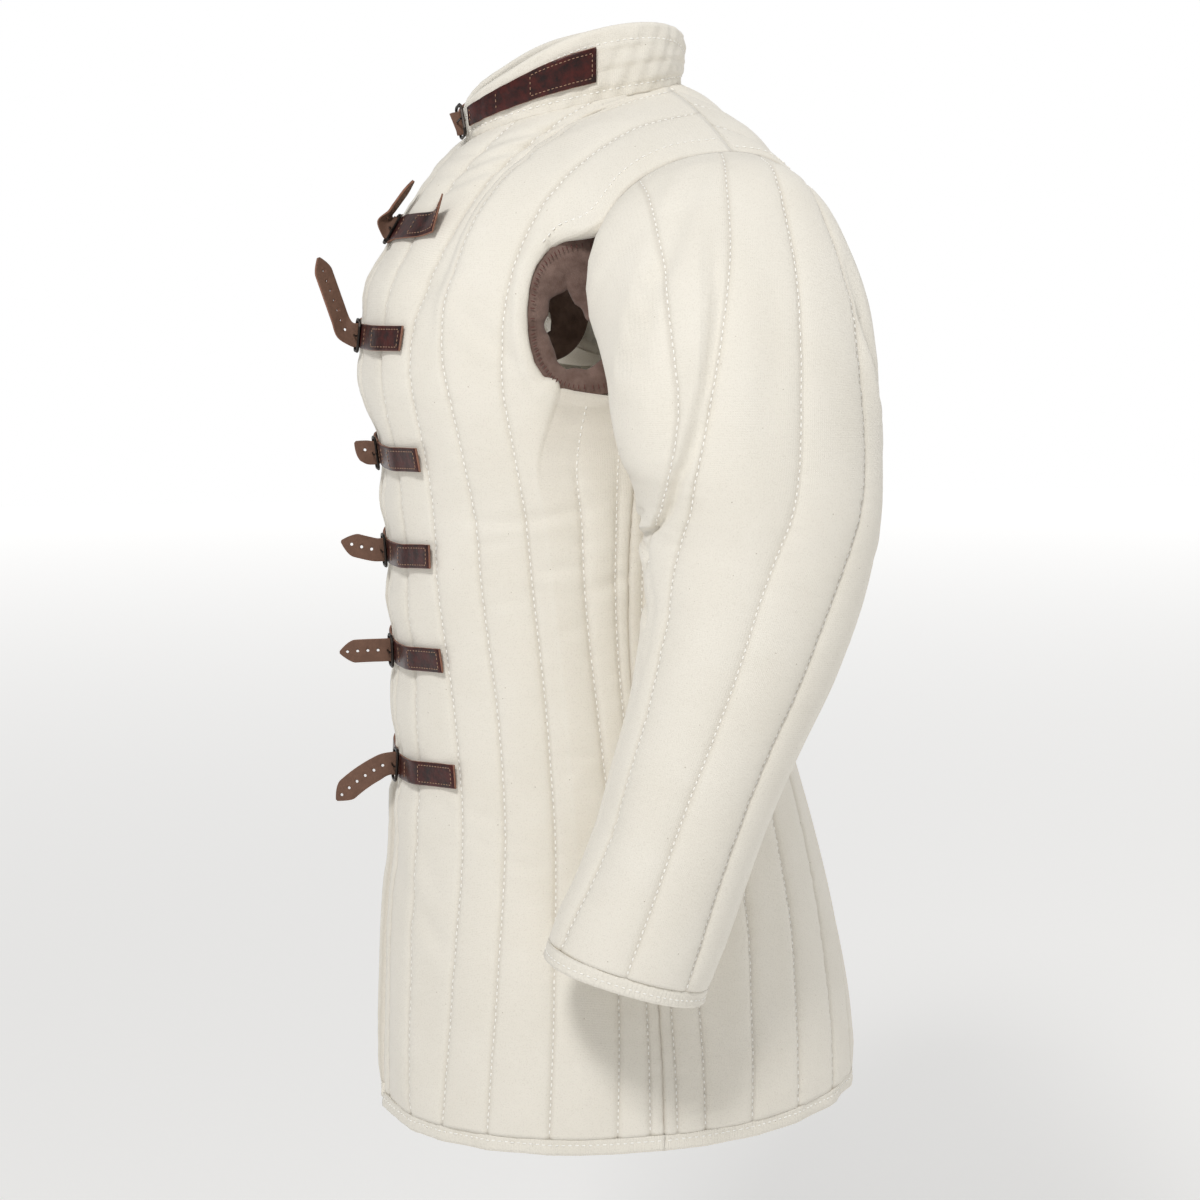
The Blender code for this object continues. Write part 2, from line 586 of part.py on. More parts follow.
def cross_rows(at, places, heights, width, lift):
    """Rows of a strip on a surface: its lower edge, middle and upper edge at each place, and the way out."""
    middles = np.array([at(p, h) for p, h in zip(places, heights)])
    along = np.gradient(middles, axis=0)
    rows = []
    for place, height, middle, ahead in zip(places, heights, middles, along):
        low, high = at(place, height - width), at(place, height + width)
        out = np.cross(ahead, high - low)
        out /= np.linalg.norm(out)
        rows.append(([p + out * lift for p in (low, middle, high)], out))
    return rows


def strip_mesh(rows, thick):
    """Leather strip from rows of [lower edge, middle, upper edge] points and their way out."""
    bm = wall_mesh([[p + out * thick for p in points] for points, out in rows], [points for points, _ in rows], False)
    if bm.calc_volume(signed=True) < 0:
        bmesh.ops.reverse_faces(bm, faces=bm.faces)
    return bm


def edge_frame(rows):
    """Place and directions of the front edge at a strap: along it, out from the cloth, and up."""
    origin = rows[0][0][1]
    along = rows[1][0][1] - origin
    along /= np.linalg.norm(along)
    up = rows[0][0][2] - rows[0][0][0]
    up -= along * np.dot(up, along)
    up /= np.linalg.norm(up)
    return origin, along, np.cross(along, up), up


def build_closure(name, at, places, heights, at_right, right_places, right_heights, width, end):
    """Tab, buckle, prong and strap at one height of the front edge."""
    pitch, yaw, length, droop = end
    frame = edge_frame(cross_rows(at, (0.0, 0.8), (heights[0], heights[0]), width, 0.0))
    tab = cross_rows(at, places, heights, width, 0.0010)
    add_object(f"tab_{name}", strip_mesh(tab, LEATHER), OXBLOOD, 0.35)
    build_buckle(name, frame)
    flip = np.array((-1.0, 1.0, 1.0))
    rows = cross_rows(at_right, right_places, right_heights, width, 0.0010)
    rows = [([p * flip for p in points], out * flip) for points, out in reversed(rows)]
    origin, along, out, up = frame
    half = STRAP_WIDTH / 2
    for a, b, lean in ((-0.0005, 0.0013, 0.0), (0.0030, 0.0015, 0.35), (0.0054, 0.0040, 1.45), (0.0055, 0.0085, 1.57)):
        middle = origin + along * a + out * b
        face = out * math.cos(lean) - along * math.sin(lean)
        rows.append(([middle + up * s * half for s in (-1, 0, 1)], face))
    point = rows[-1][0][1]
    steps = 6
    for i in range(1, steps + 1):
        share = min(1.0, i / 3)
        tilt = math.radians(pitch * share + droop * i / steps)
        swing = math.radians(yaw) * share
        ahead = out * math.cos(swing) - along * math.sin(swing)
        face = -along * math.cos(swing) - out * math.sin(swing)
        way = ahead * math.cos(tilt) + up * math.sin(tilt)
        across = up * math.cos(tilt) - ahead * math.sin(tilt)
        point = point + way * length / steps
        wide = half if i < steps else half * 0.5
        rows.append(([point + across * s * wide for s in (-1, 0, 1)], face))
    add_object(f"strap_{name}", strip_mesh(rows, LEATHER), OXBLOOD, 0.4)


def build_buckle(name, frame):
    """Rectangular frame round the strap, flat against the front edge, and its prong."""
    origin, along, out, up = frame
    bars = []
    for turn in np.arange(15, 375, 30):
        s, c = rounded(turn, 5.0)
        bars.append(origin + along * (0.0088 + 0.0088 * c) + out * 0.0056 + up * 0.0130 * s)
    add_bar(f"buckle_{name}", bars, BAR, True)
    prong = [origin + along * a + out * b for a, b in ((0.0190, 0.0080), (0.0125, 0.0084), (0.0064, 0.0080))]
    add_bar(f"prong_{name}", prong, BAR * 0.7, False)


def add_bar(name, path, radius, ring):
    """Round bar along a path, as a closed mesh object."""
    curve = bpy.data.curves.new(name, "CURVE")
    curve.dimensions = "3D"
    curve.bevel_depth = radius
    curve.bevel_resolution = 1
    curve.use_fill_caps = not ring
    spline = curve.splines.new("POLY")
    spline.points.add(len(path) - 1)
    for point, co in zip(spline.points, path):
        point.co = (*co, 1.0)
    spline.use_cyclic_u = ring
    temp = bpy.data.objects.new("curve", curve)
    bpy.context.scene.collection.objects.link(temp)
    bpy.context.view_layer.update()
    mesh = bpy.data.meshes.new_from_object(temp.evaluated_get(bpy.context.evaluated_depsgraph_get()))
    bpy.data.objects.remove(temp)
    bm = bmesh.new()
    bm.from_mesh(mesh)
    bpy.data.meshes.remove(mesh)
    bmesh.ops.remove_doubles(bm, verts=bm.verts, dist=0.00002)
    bmesh.ops.recalc_face_normals(bm, faces=bm.faces)
    add_object(name, bm, METAL, 0.4, metallic=1.0)


def build_closures(left, right, collar):
    """Tabs, straps, buckles and prongs up the front and on the collar."""
    half = STRAP_WIDTH / 2
    right_places = np.arange(7.0)
    for name, height, rise, reach, pitch, yaw, length, droop in STRAPS:
        places = np.array((0.55, *np.arange(1.0, reach), reach))
        heights = height + rise * places / 6
        build_closure(name, lambda p, z: on_panel(left, p, z), places, heights, lambda p, z: on_panel(right, p, z),
                      right_places, np.full(7, height), half, (pitch, yaw, length, droop))
    halves = collar, [[p * (-1, 1, 1) for p in column] for column in reversed(collar)]
    build_closure("collar", lambda p, share: on_collar(halves[0], p, share), np.array((1.6, 2.0, *range(3, 15))),
                  np.linspace(0.52, 0.52, 14), lambda p, share: on_collar(halves[1], p, share), np.arange(9.0),
                  np.full(9, 0.52), 0.26, (-10, 10, 0.009, 0))


def main():
    for ob in list(bpy.data.objects):
        bpy.data.objects.remove(ob, do_unlink=True)
    group = bpy.data.collections.new("gambeson")
    bpy.context.scene.collection.children.link(group)
    left, right = build_fronts()
    build_back()
    collar = build_collar()
    build_sleeves()
    build_gussets()
    build_closures(left, right, collar)


main()
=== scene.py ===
"""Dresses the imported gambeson: quilted canvas, topstitching, suede armpit ovals and buckled straps.

Metres, +Z up; the front faces -Y and the wearer's left is +X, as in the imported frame.
"""

import math

import bmesh
import bpy
import numpy as np
from mathutils import Matrix, Vector


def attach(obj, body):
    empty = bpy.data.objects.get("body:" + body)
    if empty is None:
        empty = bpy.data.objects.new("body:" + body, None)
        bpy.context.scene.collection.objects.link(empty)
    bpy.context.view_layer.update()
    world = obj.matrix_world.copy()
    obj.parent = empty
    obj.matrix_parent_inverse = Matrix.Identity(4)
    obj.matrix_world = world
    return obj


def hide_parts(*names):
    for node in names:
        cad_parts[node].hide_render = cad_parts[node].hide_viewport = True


bl_info = {
    "name": "Quilted gambeson",
    "version": (1, 0, 0),
    "blender": (4, 5, 0),
    "location": "View3D > Sidebar > Gambeson",
    "description": "Dresses the packed gambeson in quilted canvas, topstitching, suede and buckled straps",
    "category": "Add Mesh",
}

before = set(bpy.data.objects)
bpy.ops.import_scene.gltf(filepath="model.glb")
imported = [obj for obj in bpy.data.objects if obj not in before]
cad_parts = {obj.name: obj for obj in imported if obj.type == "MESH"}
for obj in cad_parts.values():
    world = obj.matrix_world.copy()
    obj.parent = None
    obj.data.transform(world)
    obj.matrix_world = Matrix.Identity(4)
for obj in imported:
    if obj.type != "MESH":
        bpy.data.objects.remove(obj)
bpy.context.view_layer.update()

SEAM = 0.0004  # half the gap kept at a seam
BAND = 0.012  # depth of the hem and cuff bands
HEM_Z = -0.860
HEM_RISE = 0.026
CHEST_Z = -0.242
COLLAR_WALL = 0.006
COLLAR_HEIGHTS = (0.025, 0.036, 0.052, 0.045, 0.029)

# Body sections: height, front, back and half width, then the squareness of front and back.
SECTIONS = (
    (-0.870, -0.181, 0.233, 0.198, 2.2, 2.1),
    (-0.800, -0.181, 0.226, 0.196, 2.2, 2.1),
    (-0.740, -0.179, 0.216, 0.190, 2.2, 2.1),
    (-0.680, -0.176, 0.202, 0.182, 2.2, 2.2),
    (-0.610, -0.168, 0.183, 0.172, 2.2, 2.2),
    (-0.540, -0.165, 0.163, 0.164, 2.2, 2.3),
    (-0.470, -0.166, 0.148, 0.160, 2.2, 2.3),
    (-0.410, -0.171, 0.142, 0.160, 2.2, 2.4),
    (-0.350, -0.172, 0.143, 0.163, 2.2, 2.5),
    (-0.300, -0.179, 0.149, 0.169, 2.2, 2.7),
    (-0.240, -0.190, 0.157, 0.175, 2.2, 2.9),
)

# Quilting lines: angle round the body at hem, thigh, waist and chest, then two curve handles and the top.
FRONT_LINES = (
    ((6.0, 6.0, 1.5, 1.5), (0.004, -0.202, -0.170), (0.004, -0.150, -0.094), (0.004, -0.101, -0.048)),
    ((26, 25, 24, 24), (0.062, -0.194, -0.170), (0.056, -0.130, -0.078), (0.042, -0.076, -0.036)),
    ((38, 45, 40, 37), (0.098, -0.170, -0.165), (0.098, -0.104, -0.060), (0.072, -0.028, -0.022)),
    ((52, 59, 57, 51), (0.124, -0.155, -0.165), (0.136, -0.104, -0.036), (0.068, 0.058, -0.009)),
    ((68, 73, 73, 67), (0.158, -0.100, -0.155), (0.164, -0.070, -0.044), (0.132, 0.066, -0.023)),
)
BACK_LINES = (
    ((180, 180, 180, 180), (0.000, 0.180, -0.180), (0.000, 0.138, -0.030), (0.000, 0.074, 0.000)),
    ((154, 166, 167, 167), (0.056, 0.182, -0.180), (0.056, 0.144, -0.032), (0.064, 0.062, -0.006)),
    ((140, 152, 154, 153), (0.110, 0.188, -0.180), (0.110, 0.158, -0.035), (0.108, 0.068, -0.017)),
    ((126, 136, 140, 139), (0.150, 0.166, -0.180), (0.150, 0.150, -0.050), (0.150, 0.071, -0.031)),
)
ARM_FRONT = (75, 79, 79, 74)
UNDER_FRONT = (83, 87, 87, 84)
SIDE = (92, 94, 96, 95)
UNDER_BACK_1 = (101, 104, 108, 107)
UNDER_BACK_2 = (112, 120, 124, 122)
ANGLE_HEIGHTS = (-0.86, -0.60, -0.41, -0.25)
NECK_SIDE = 0.78
NECK_HALF = 0.078
NECK_DEPTH = 0.0875
NECK_MIDDLE = -0.0135
NECK_DROP = 0.048
UPPER = 10
LOWER = np.linspace(HEM_Z + BAND + SEAM, CHEST_Z - 0.005, 13)
ARMPIT_ROW = len(LOWER) - 1

# Sleeve rings: front Y and Z, back Y and Z, near and far side, rise between them, place of the crest.
SLEEVE = np.array((
    (-0.027, -0.151, 0.160, -0.151, 0.1930, 0.1930, 0.096, 0.60),
    (-0.031, -0.158, 0.168, -0.158, 0.1910, 0.2420, 0.088, 0.58),
    (-0.031, -0.186, 0.177, -0.187, 0.1880, 0.2980, 0.062, 0.55),
    (-0.030, -0.217, 0.180, -0.220, 0.1860, 0.3260, 0.035, 0.52),
    (-0.028, -0.250, 0.181, -0.255, 0.1860, 0.3380, 0.012, 0.50),
    (-0.019, -0.287, 0.183, -0.295, 0.1870, 0.3420, 0.0, 0.50),
    (0.000, -0.320, 0.183, -0.328, 0.1880, 0.3420, 0.0, 0.50),
    (0.009, -0.342, 0.178, -0.360, 0.1890, 0.3400, 0.0, 0.50),
    (0.002, -0.382, 0.166, -0.407, 0.1900, 0.3370, 0.0, 0.50),
    (-0.006, -0.428, 0.149, -0.455, 0.1910, 0.3330, 0.0, 0.50),
    (-0.013, -0.472, 0.125, -0.503, 0.1930, 0.3290, 0.0, 0.50),
    (-0.025, -0.518, 0.104, -0.552, 0.1960, 0.3250, 0.0, 0.50),
    (-0.037, -0.564, 0.086, -0.600, 0.1990, 0.3210, 0.0, 0.50),
    (-0.051, -0.610, 0.071, -0.648, 0.2010, 0.3170, 0.0, 0.50),
    (-0.066, -0.656, 0.056, -0.694, 0.2030, 0.3140, 0.0, 0.50),
    (-0.070, -0.668, 0.053, -0.706, 0.2030, 0.3130, 0.0, 0.50),
))
CUFF_RING = len(SLEEVE) - 2
# Turn of each sleeve line, in degrees, at these rings; 0 is the front of the arm and 90 the outside.
SLEEVE_LINE_RINGS = (0, 2.5, 4.5, 7, 10, 15)
SLEEVE_LINES = (
    (50, 54, 62, 4, -8, -12),
    (86, 80, 70, 33, 31, 22),
    (104, 107, 109, 87, 84, 80),
    (124, 137, 148, 126, 121, 127),
    (158, 168, 180, 166, 160, 166),
    (196, 204, 212, 204, 202, 205),
    (236, 240, 246, 240, 240, 242),
    (276, 280, 282, 278, 278, 280),
    (326, 326, 330, 318, 316, 318),
)

GUSSET = ((-0.025, -0.1815), (0.047, 0.0595), 2.5)
VENT = np.array((
    (-0.040, -0.160), (-0.034, -0.172), (-0.023, -0.186), (-0.013, -0.199), (-0.012, -0.215), (-0.026, -0.222),
    (-0.041, -0.222), (-0.048, -0.215), (-0.055, -0.200), (-0.058, -0.184), (-0.053, -0.170), (-0.045, -0.164),
))

# Straps: height at the front edge, rise of the tab and how many columns it covers,
# then pitch, yaw, length, droop and twist of the free end.
STRAPS = (
    ("1", -0.122, 0.009, 5.2, 96, 8, 0.044, 0, 86),
    ("2", -0.206, 0.003, 5.6, 65, -6, 0.070, 0, 34),
    ("3", -0.302, 0.005, 6.0, 40, 10, 0.017, 8, 20),
    ("4", -0.384, 0.008, 6.0, 14, 4, 0.033, 8, 8),
    ("5", -0.468, 0.008, 6.0, 2, 6, 0.039, -4, 0),
    ("6", -0.564, 0.010, 6.0, -24, 6, 0.056, -26, 10),
)

# Creases of the front seen from the side: width and depth, then points in Y and Z.
FRONT_CREASES = (
    (0.006, 0.0022, ((-0.158, -0.179), (-0.137, -0.159), (-0.118, -0.130))),
    (0.006, 0.0024, ((-0.119, -0.176), (-0.103, -0.197), (-0.085, -0.214))),
    (0.007, 0.0018, ((-0.052, -0.082), (-0.025, -0.107))),
    (0.005, 0.0015, ((-0.114, -0.347), (-0.073, -0.342), (-0.017, -0.331))),
    (0.004, 0.0009, ((-0.111, -0.367), (-0.079, -0.356))),
    (0.005, 0.0012, ((-0.069, -0.384), (-0.027, -0.378))),
    (0.004, 0.0007, ((-0.099, -0.412), (-0.071, -0.406))),
    (0.006, 0.0015, ((-0.021, -0.398), (0.014, -0.389))),
    (0.005, 0.0008, ((-0.051, -0.435), (-0.023, -0.425))),
    (0.004, 0.0008, ((-0.048, -0.533), (-0.015, -0.532))),
    (0.004, 0.0007, ((-0.048, -0.551), (-0.030, -0.539))),
    (0.004, 0.0010, ((-0.139, -0.575), (-0.123, -0.589))),
    (0.004, 0.0012, ((-0.118, -0.578), (-0.092, -0.589))),
    (0.004, 0.0010, ((-0.118, -0.603), (-0.090, -0.611))),
    (0.003, 0.0008, ((-0.087, -0.604), (-0.072, -0.607))),
    (0.004, 0.0013, ((-0.088, -0.616), (-0.069, -0.623), (-0.052, -0.622))),
    (0.003, 0.0006, ((-0.050, -0.632), (-0.037, -0.631))),
    (0.006, 0.0015, ((-0.167, -0.631), (-0.158, -0.683))),
    (0.006, 0.0015, ((-0.151, -0.612), (-0.137, -0.655))),
    (0.006, 0.0020, ((-0.152, -0.665), (-0.131, -0.708))),
)
# Narrow folds where the cloth bunches under the collar.
NECK_CREASES = (
    (0.0026, 0.0020, ((-0.122, -0.066), (-0.076, -0.048), (-0.025, -0.032), (0.026, -0.016))),
    (0.0026, 0.0020, ((-0.133, -0.081), (-0.093, -0.064), (-0.042, -0.044), (0.009, -0.027))),
    (0.0026, 0.0016, ((-0.143, -0.097), (-0.101, -0.076), (-0.059, -0.059))),
)
# Creases of the back seen from behind: width and depth, then points in X and Z.
BACK_CREASES = (
    (0.007, 0.0026, ((-0.070, -0.372), (-0.020, -0.362), (0.034, -0.366))),
    (0.006, 0.0020, ((0.028, -0.402), (0.088, -0.392))),
    (0.006, 0.0018, ((-0.112, -0.418), (-0.058, -0.424))),
    (0.008, 0.0022, ((0.070, -0.344), (0.126, -0.330))),
    (0.008, 0.0020, ((-0.132, -0.326), (-0.086, -0.342))),
    (0.006, 0.0014, ((-0.018, -0.446), (0.042, -0.452))),
    (0.009, 0.0022, ((0.096, -0.110), (0.126, -0.172))),
    (0.009, 0.0024, ((-0.090, -0.104), (-0.122, -0.160), (-0.130, -0.196))),
)
# Creases of the sleeve: width and depth, then points as ring and turn.
SLEEVE_CREASES = (
    (0.0042, 0.0078, ((4.0, 72), (4.7, 60), (5.6, 42), (6.6, 18), (7.0, -8))),
    (0.0035, 0.0052, ((1.6, 74), (2.7, 75), (3.7, 71), (4.5, 62))),
    (0.0058, 0.0070, ((1.4, 58), (2.4, 44), (3.4, 32), (4.4, 22))),
    (0.0050, 0.0046, ((0.9, 74), (1.5, 63), (2.2, 53))),
    (0.0055, 0.0066, ((1.9, 140), (2.6, 146), (3.4, 160), (4.2, 172))),
    (0.0040, 0.0040, ((5.2, 20), (6.0, 6), (6.6, -16))),
    (0.0050, 0.0052, ((6.4, -40), (7.1, -16), (7.4, 6))),
    (0.0045, 0.0034, ((8.0, -36), (8.4, -14), (8.5, 8))),
    (0.0070, 0.0020, ((2.0, 95), (3.4, 97), (4.6, 92))),
    (0.0060, 0.0022, ((5.4, 196), (6.4, 178), (7.0, 160))),
    (0.0060, 0.0028, ((4.4, 226), (5.8, 236), (7.0, 238))),
    (0.0040, 0.0016, ((11.4, 50), (12.2, 56))),
    (0.0050, 0.0030, ((7.2, 4), (8.0, 14), (9.0, 16), (10.0, 8))),
)


# Places across a strap from edge to edge, closer together where the edges are worn.
STRAP_ACROSS = np.array((-1, -0.95, -0.86, -0.4, 0, 0.4, 0.86, 0.95, 1.0))
# A strap on its way through its buckle: back from the front edge, out from the cloth, and lean in radians.
THROUGH_BUCKLE = ((-0.0005, 0.0013, 0.0), (0.0030, 0.0015, 0.35), (0.0054, 0.0040, 1.45), (0.0055, 0.0085, 1.57))

# The floor's height, the camera as the photograph's, and the lights: azimuth from the front, elevation,
# distance, size and watts.
FLOOR_Z = -1.45
CAMERA_PLACE = (2.4769, -0.3394, -0.04)
CAMERA_WAY = (-0.97834, 0.13750, -0.15471)
CAMERA_LENS = 89.7
STUDIO_LIGHTS = (("key", 66, 40, 3.4, 0.5, 54), ("fill", 195, 35, 4.0, 2.0, 34))


def linear(code):
    """Linear RGB of an sRGB hex colour."""
    parts = [int(code[i:i + 2], 16) / 255 for i in (0, 2, 4)]
    return tuple(c / 12.92 if c <= 0.04045 else ((c + 0.055) / 1.055) ** 2.4 for c in parts)


def smooth_table(xs, ys, x):
    """Cubic reading of a table whose places xs rise."""
    xs, ys = np.asarray(xs, float), np.asarray(ys, float)
    slopes = np.gradient(ys, xs, axis=0)
    i = int(np.clip(np.searchsorted(xs, x) - 1, 0, len(xs) - 2))
    step = xs[i + 1] - xs[i]
    t = min(max((x - xs[i]) / step, 0.0), 1.0)
    a, b = 2 * t**3 - 3 * t**2 + 1, t**3 - 2 * t**2 + t
    c, d = -2 * t**3 + 3 * t**2, t**3 - t**2
    return a * ys[i] + b * step * slopes[i] + c * ys[i + 1] + d * step * slopes[i + 1]


def rounded(turn, squareness):
    """Sine and cosine of angles in degrees, pushed out towards a square."""
    s, c = np.sin(np.radians(turn)), np.cos(np.radians(turn))
    power = 2.0 / squareness
    return np.sign(s) * abs(s) ** power, np.sign(c) * abs(c) ** power


def spline_weights(t):
    """Weights of the four points round each place on a smooth line through points."""
    return (0.5 * (-t + 2 * t**2 - t**3), 0.5 * (2 - 5 * t**2 + 3 * t**3),
            0.5 * (t + 4 * t**2 - 3 * t**3), 0.5 * (t**3 - t**2))


def read_line(rows, at):
    """Smooth reading of rows of numbers at fractional row numbers."""
    rows = np.asarray(rows, float)
    padded = np.concatenate(([2 * rows[0] - rows[1]], rows, [2 * rows[-1] - rows[-2]]))
    i = np.clip(at.astype(int), 0, len(rows) - 2)
    return sum(w[:, None] * padded[i + k] for k, w in enumerate(spline_weights(at - i)))


def read_grid(grid, u, v):
    """Smooth reading of a grid of points [column][row] at fractional columns and rows."""
    g = np.asarray(grid, float)
    g = np.concatenate((2 * g[:1] - g[1:2], g, 2 * g[-1:] - g[-2:-1]))
    g = np.concatenate((2 * g[:, :1] - g[:, 1:2], g, 2 * g[:, -1:] - g[:, -2:-1]), axis=1)
    i = np.clip(np.floor(u).astype(int), 0, g.shape[0] - 4)
    k = np.clip(np.floor(v).astype(int), 0, g.shape[1] - 4)
    across, along = spline_weights(u - i), spline_weights(v - k)
    total = np.zeros((len(u), 3))
    for a in range(4):
        for b in range(4):
            total += (across[a] * along[b])[:, None] * g[i + a, k + b]
    return total


def ripple(points, length, seed, waves=6):
    """Soft unevenness of about unit height whose bumps are one length apart."""
    rng = np.random.default_rng(seed)
    total = np.zeros(len(points))
    for _ in range(waves):
        way = rng.normal(size=points.shape[1])
        way *= rng.uniform(0.7, 1.3) / np.linalg.norm(way)
        total += np.sin(points @ way * 2 * math.pi / length + rng.uniform(0, 2 * math.pi))
    return total / math.sqrt(waves)


def crease(points, line, width, depth):
    """Soft trough along a line with a low ridge on one side, fading towards the line's ends."""
    line = np.array(line, float)
    lengths = np.concatenate(([0.0], np.cumsum(np.linalg.norm(np.diff(line, axis=0), axis=1))))
    best = np.full(len(points), 9.0)
    side, along = np.zeros(len(points)), np.zeros(len(points))
    for a, b, start, stop in zip(line, line[1:], lengths, lengths[1:]):
        way = (b - a) / (stop - start)
        t = np.clip((points - a) @ way, 0, stop - start)
        off = points - a - t[:, None] * way
        far = np.linalg.norm(off, axis=1)
        nearer = far < best
        best = np.where(nearer, far, best)
        side = np.where(nearer, np.sign(off[:, 0] * way[1] - off[:, 1] * way[0]), side)
        along = np.where(nearer, (start + t) / lengths[-1], along)
    fade = np.sqrt(np.clip(np.sin(math.pi * np.clip(along, 0.03, 0.97)), 0, 1))
    signed = best * side
    ridge = 0.5 * np.exp(-(((signed - 1.9 * width) / (1.3 * width)) ** 2))
    return depth * fade * (ridge - np.exp(-((best / width) ** 2)))


def unit(vectors):
    return vectors / np.maximum(np.linalg.norm(vectors, axis=-1, keepdims=True), 1e-12)


def body_point(angle, z):
    rows = np.array(SECTIONS)
    front, back, half, square_f, square_b = smooth_table(rows[:, 0], rows[:, 1:], z)
    s, c = rounded(angle, square_f if angle < 90 else square_b)
    return np.array((half * s, (front + back) / 2 - (back - front) / 2 * c, z))


def angle_at(angles, z):
    return smooth_table(ANGLE_HEIGHTS, angles, min(max(z, ANGLE_HEIGHTS[0]), ANGLE_HEIGHTS[-1]))


def neck_point(t):
    """Neckline, from the middle of the front at t=0 to the middle of the back at t=1."""
    s, c = rounded(180 * t, 2.15)
    rise = max((1 - c) / 2, 0.0) ** 0.6
    return np.array((NECK_HALF * s, NECK_MIDDLE - NECK_DEPTH * c, NECK_DROP * (rise - 1)))


def sleeve_points(ring, turn, inward=0.0):
    """Points of the sleeve at fractional rings: turn 0 is the front, 90 the crest, 180 the back."""
    table = read_line(SLEEVE, ring)
    front, back, near, far, rise, crest = table[:, 0:2], table[:, 2:4], *table[:, 4:].T
    s, c = rounded(turn, 2.1)
    middle = front + (back - front) * crest[:, None]
    reach = np.where((c > 0)[:, None], front - middle, back - middle)
    reach = reach * (1 - inward / np.maximum(np.linalg.norm(reach, axis=1), 1e-6))[:, None]
    side = np.stack(((far - near) / 2, rise), axis=1)
    side = side * (1 - inward / np.maximum(np.linalg.norm(side, axis=1), 1e-6))[:, None]
    y, z = (middle + reach * abs(c)[:, None]).T
    return np.stack(((near + far) / 2 + side[:, 0] * s, y, z + side[:, 1] * s), axis=1)


def armhole_point(turn):
    point = sleeve_points(np.zeros(1), np.array([turn]))[0]
    point[0] = SLEEVE[0][4] - 2 * SEAM
    return point


def shoulder_point(share, seam):
    neck, tip = neck_point(NECK_SIDE) - (0.0, 0.0, 0.0006), armhole_point(90.0)
    return neck + (tip - neck) * share + (0.0, seam, 0.022 * share * (1 - share))


def gusset_point(turn, scale=1.0):
    (y, z), (half_y, half_z), square = GUSSET
    s, c = rounded(turn, square)
    return np.array((0.170 + 0.003 * min(max(-s / 0.46, 0.0), 1.0), y - half_y * c * scale, z + half_z * s * scale))


def lower_rows(angles):
    rise = HEM_RISE * (angles[0] / 180) ** 1.3
    lifted = [z + rise * (CHEST_Z - z) / (CHEST_Z - HEM_Z) for z in LOWER]
    return [body_point(angle_at(angles, z), z) for z in lifted]


def line_rows(line):
    angles, *ends = line
    rows = lower_rows(angles)
    a, (b, c, d) = rows[-1], [np.array(p, float) for p in ends]
    for i in range(1, UPPER + 1):
        t = i / UPPER
        rows.append((1 - t) ** 3 * a + 3 * t * (1 - t) ** 2 * b + 3 * t * t * (1 - t) * c + t**3 * d)
    return rows


def between(a, b, share):
    return [p * (1 - share) + q * share for p, q in zip(a, b)]


def settle(columns, tops):
    """Moves the upper part of each column to its top and keeps it outside the collar."""
    for column, top in zip(columns, tops):
        shift = top - column[-1]
        for k in range(UPPER):
            column[-1 - k] = column[-1 - k] + shift * (1 - k / UPPER) ** 2
        for k in range(1, 6):
            point = column[-1 - k]
            reach = math.hypot(point[0] / NECK_HALF, (point[1] - NECK_MIDDLE) / NECK_DEPTH)
            if reach < 1.0 + 0.055 * k:
                middle = np.array((0.0, NECK_MIDDLE))
                column[-1 - k][:2] = middle + (point[:2] - middle) * (1.0 + 0.055 * k) / max(reach, 0.1)


def copied(columns, rows=None):
    return [[np.array(p, float) for p in column[:rows]] for column in columns]


def front_grid():
    """Full-height columns of the left front and the low columns under its armhole."""
    lines = [line_rows(line) for line in FRONT_LINES]
    for k, z in enumerate(LOWER):
        for strap in STRAPS:
            lines[0][k][1] += 0.004 * math.exp(-(((z - strap[1]) / 0.022) ** 2))
    tall = [between(a, b, share) for a, b in zip(lines, lines[1:]) for share in (0.0, 1 / 3, 2 / 3)]
    tall.append(lines[-1])
    edge = lower_rows(ARM_FRONT)
    edge[-1] = gusset_point(-67.5)
    edge += [gusset_point(t) for t in (-45.0, -22.5, 0.0, 22.5, 45.0, 67.5)]
    edge += [armhole_point(t) for t in (22.5, 45.0, 67.5, 90.0)]
    tall = copied(tall + [between(tall[-1], edge, 0.5), edge])
    tops = [neck_point(t) - (0.0, 0.0, 0.0006) for t in (0.0, 0.10, 0.20, 0.30, 0.37, 0.44, 0.52, 0.64)]
    tops[0][0] = 0.004
    settle(tall, tops + [shoulder_point(s, -SEAM) for s in (0.0, 0.12, 0.25, 0.38, 0.52, 0.76, 1.0)])
    under, side = lower_rows(UNDER_FRONT), lower_rows(SIDE)
    under[-1] = gusset_point(-90.0)
    low = copied([between(edge, under, 0.5), under, between(under, side, 0.5), side], len(LOWER))
    low[-1] = [p - (0.0, SEAM, 0.0) for p in low[-1]]
    return tall, low


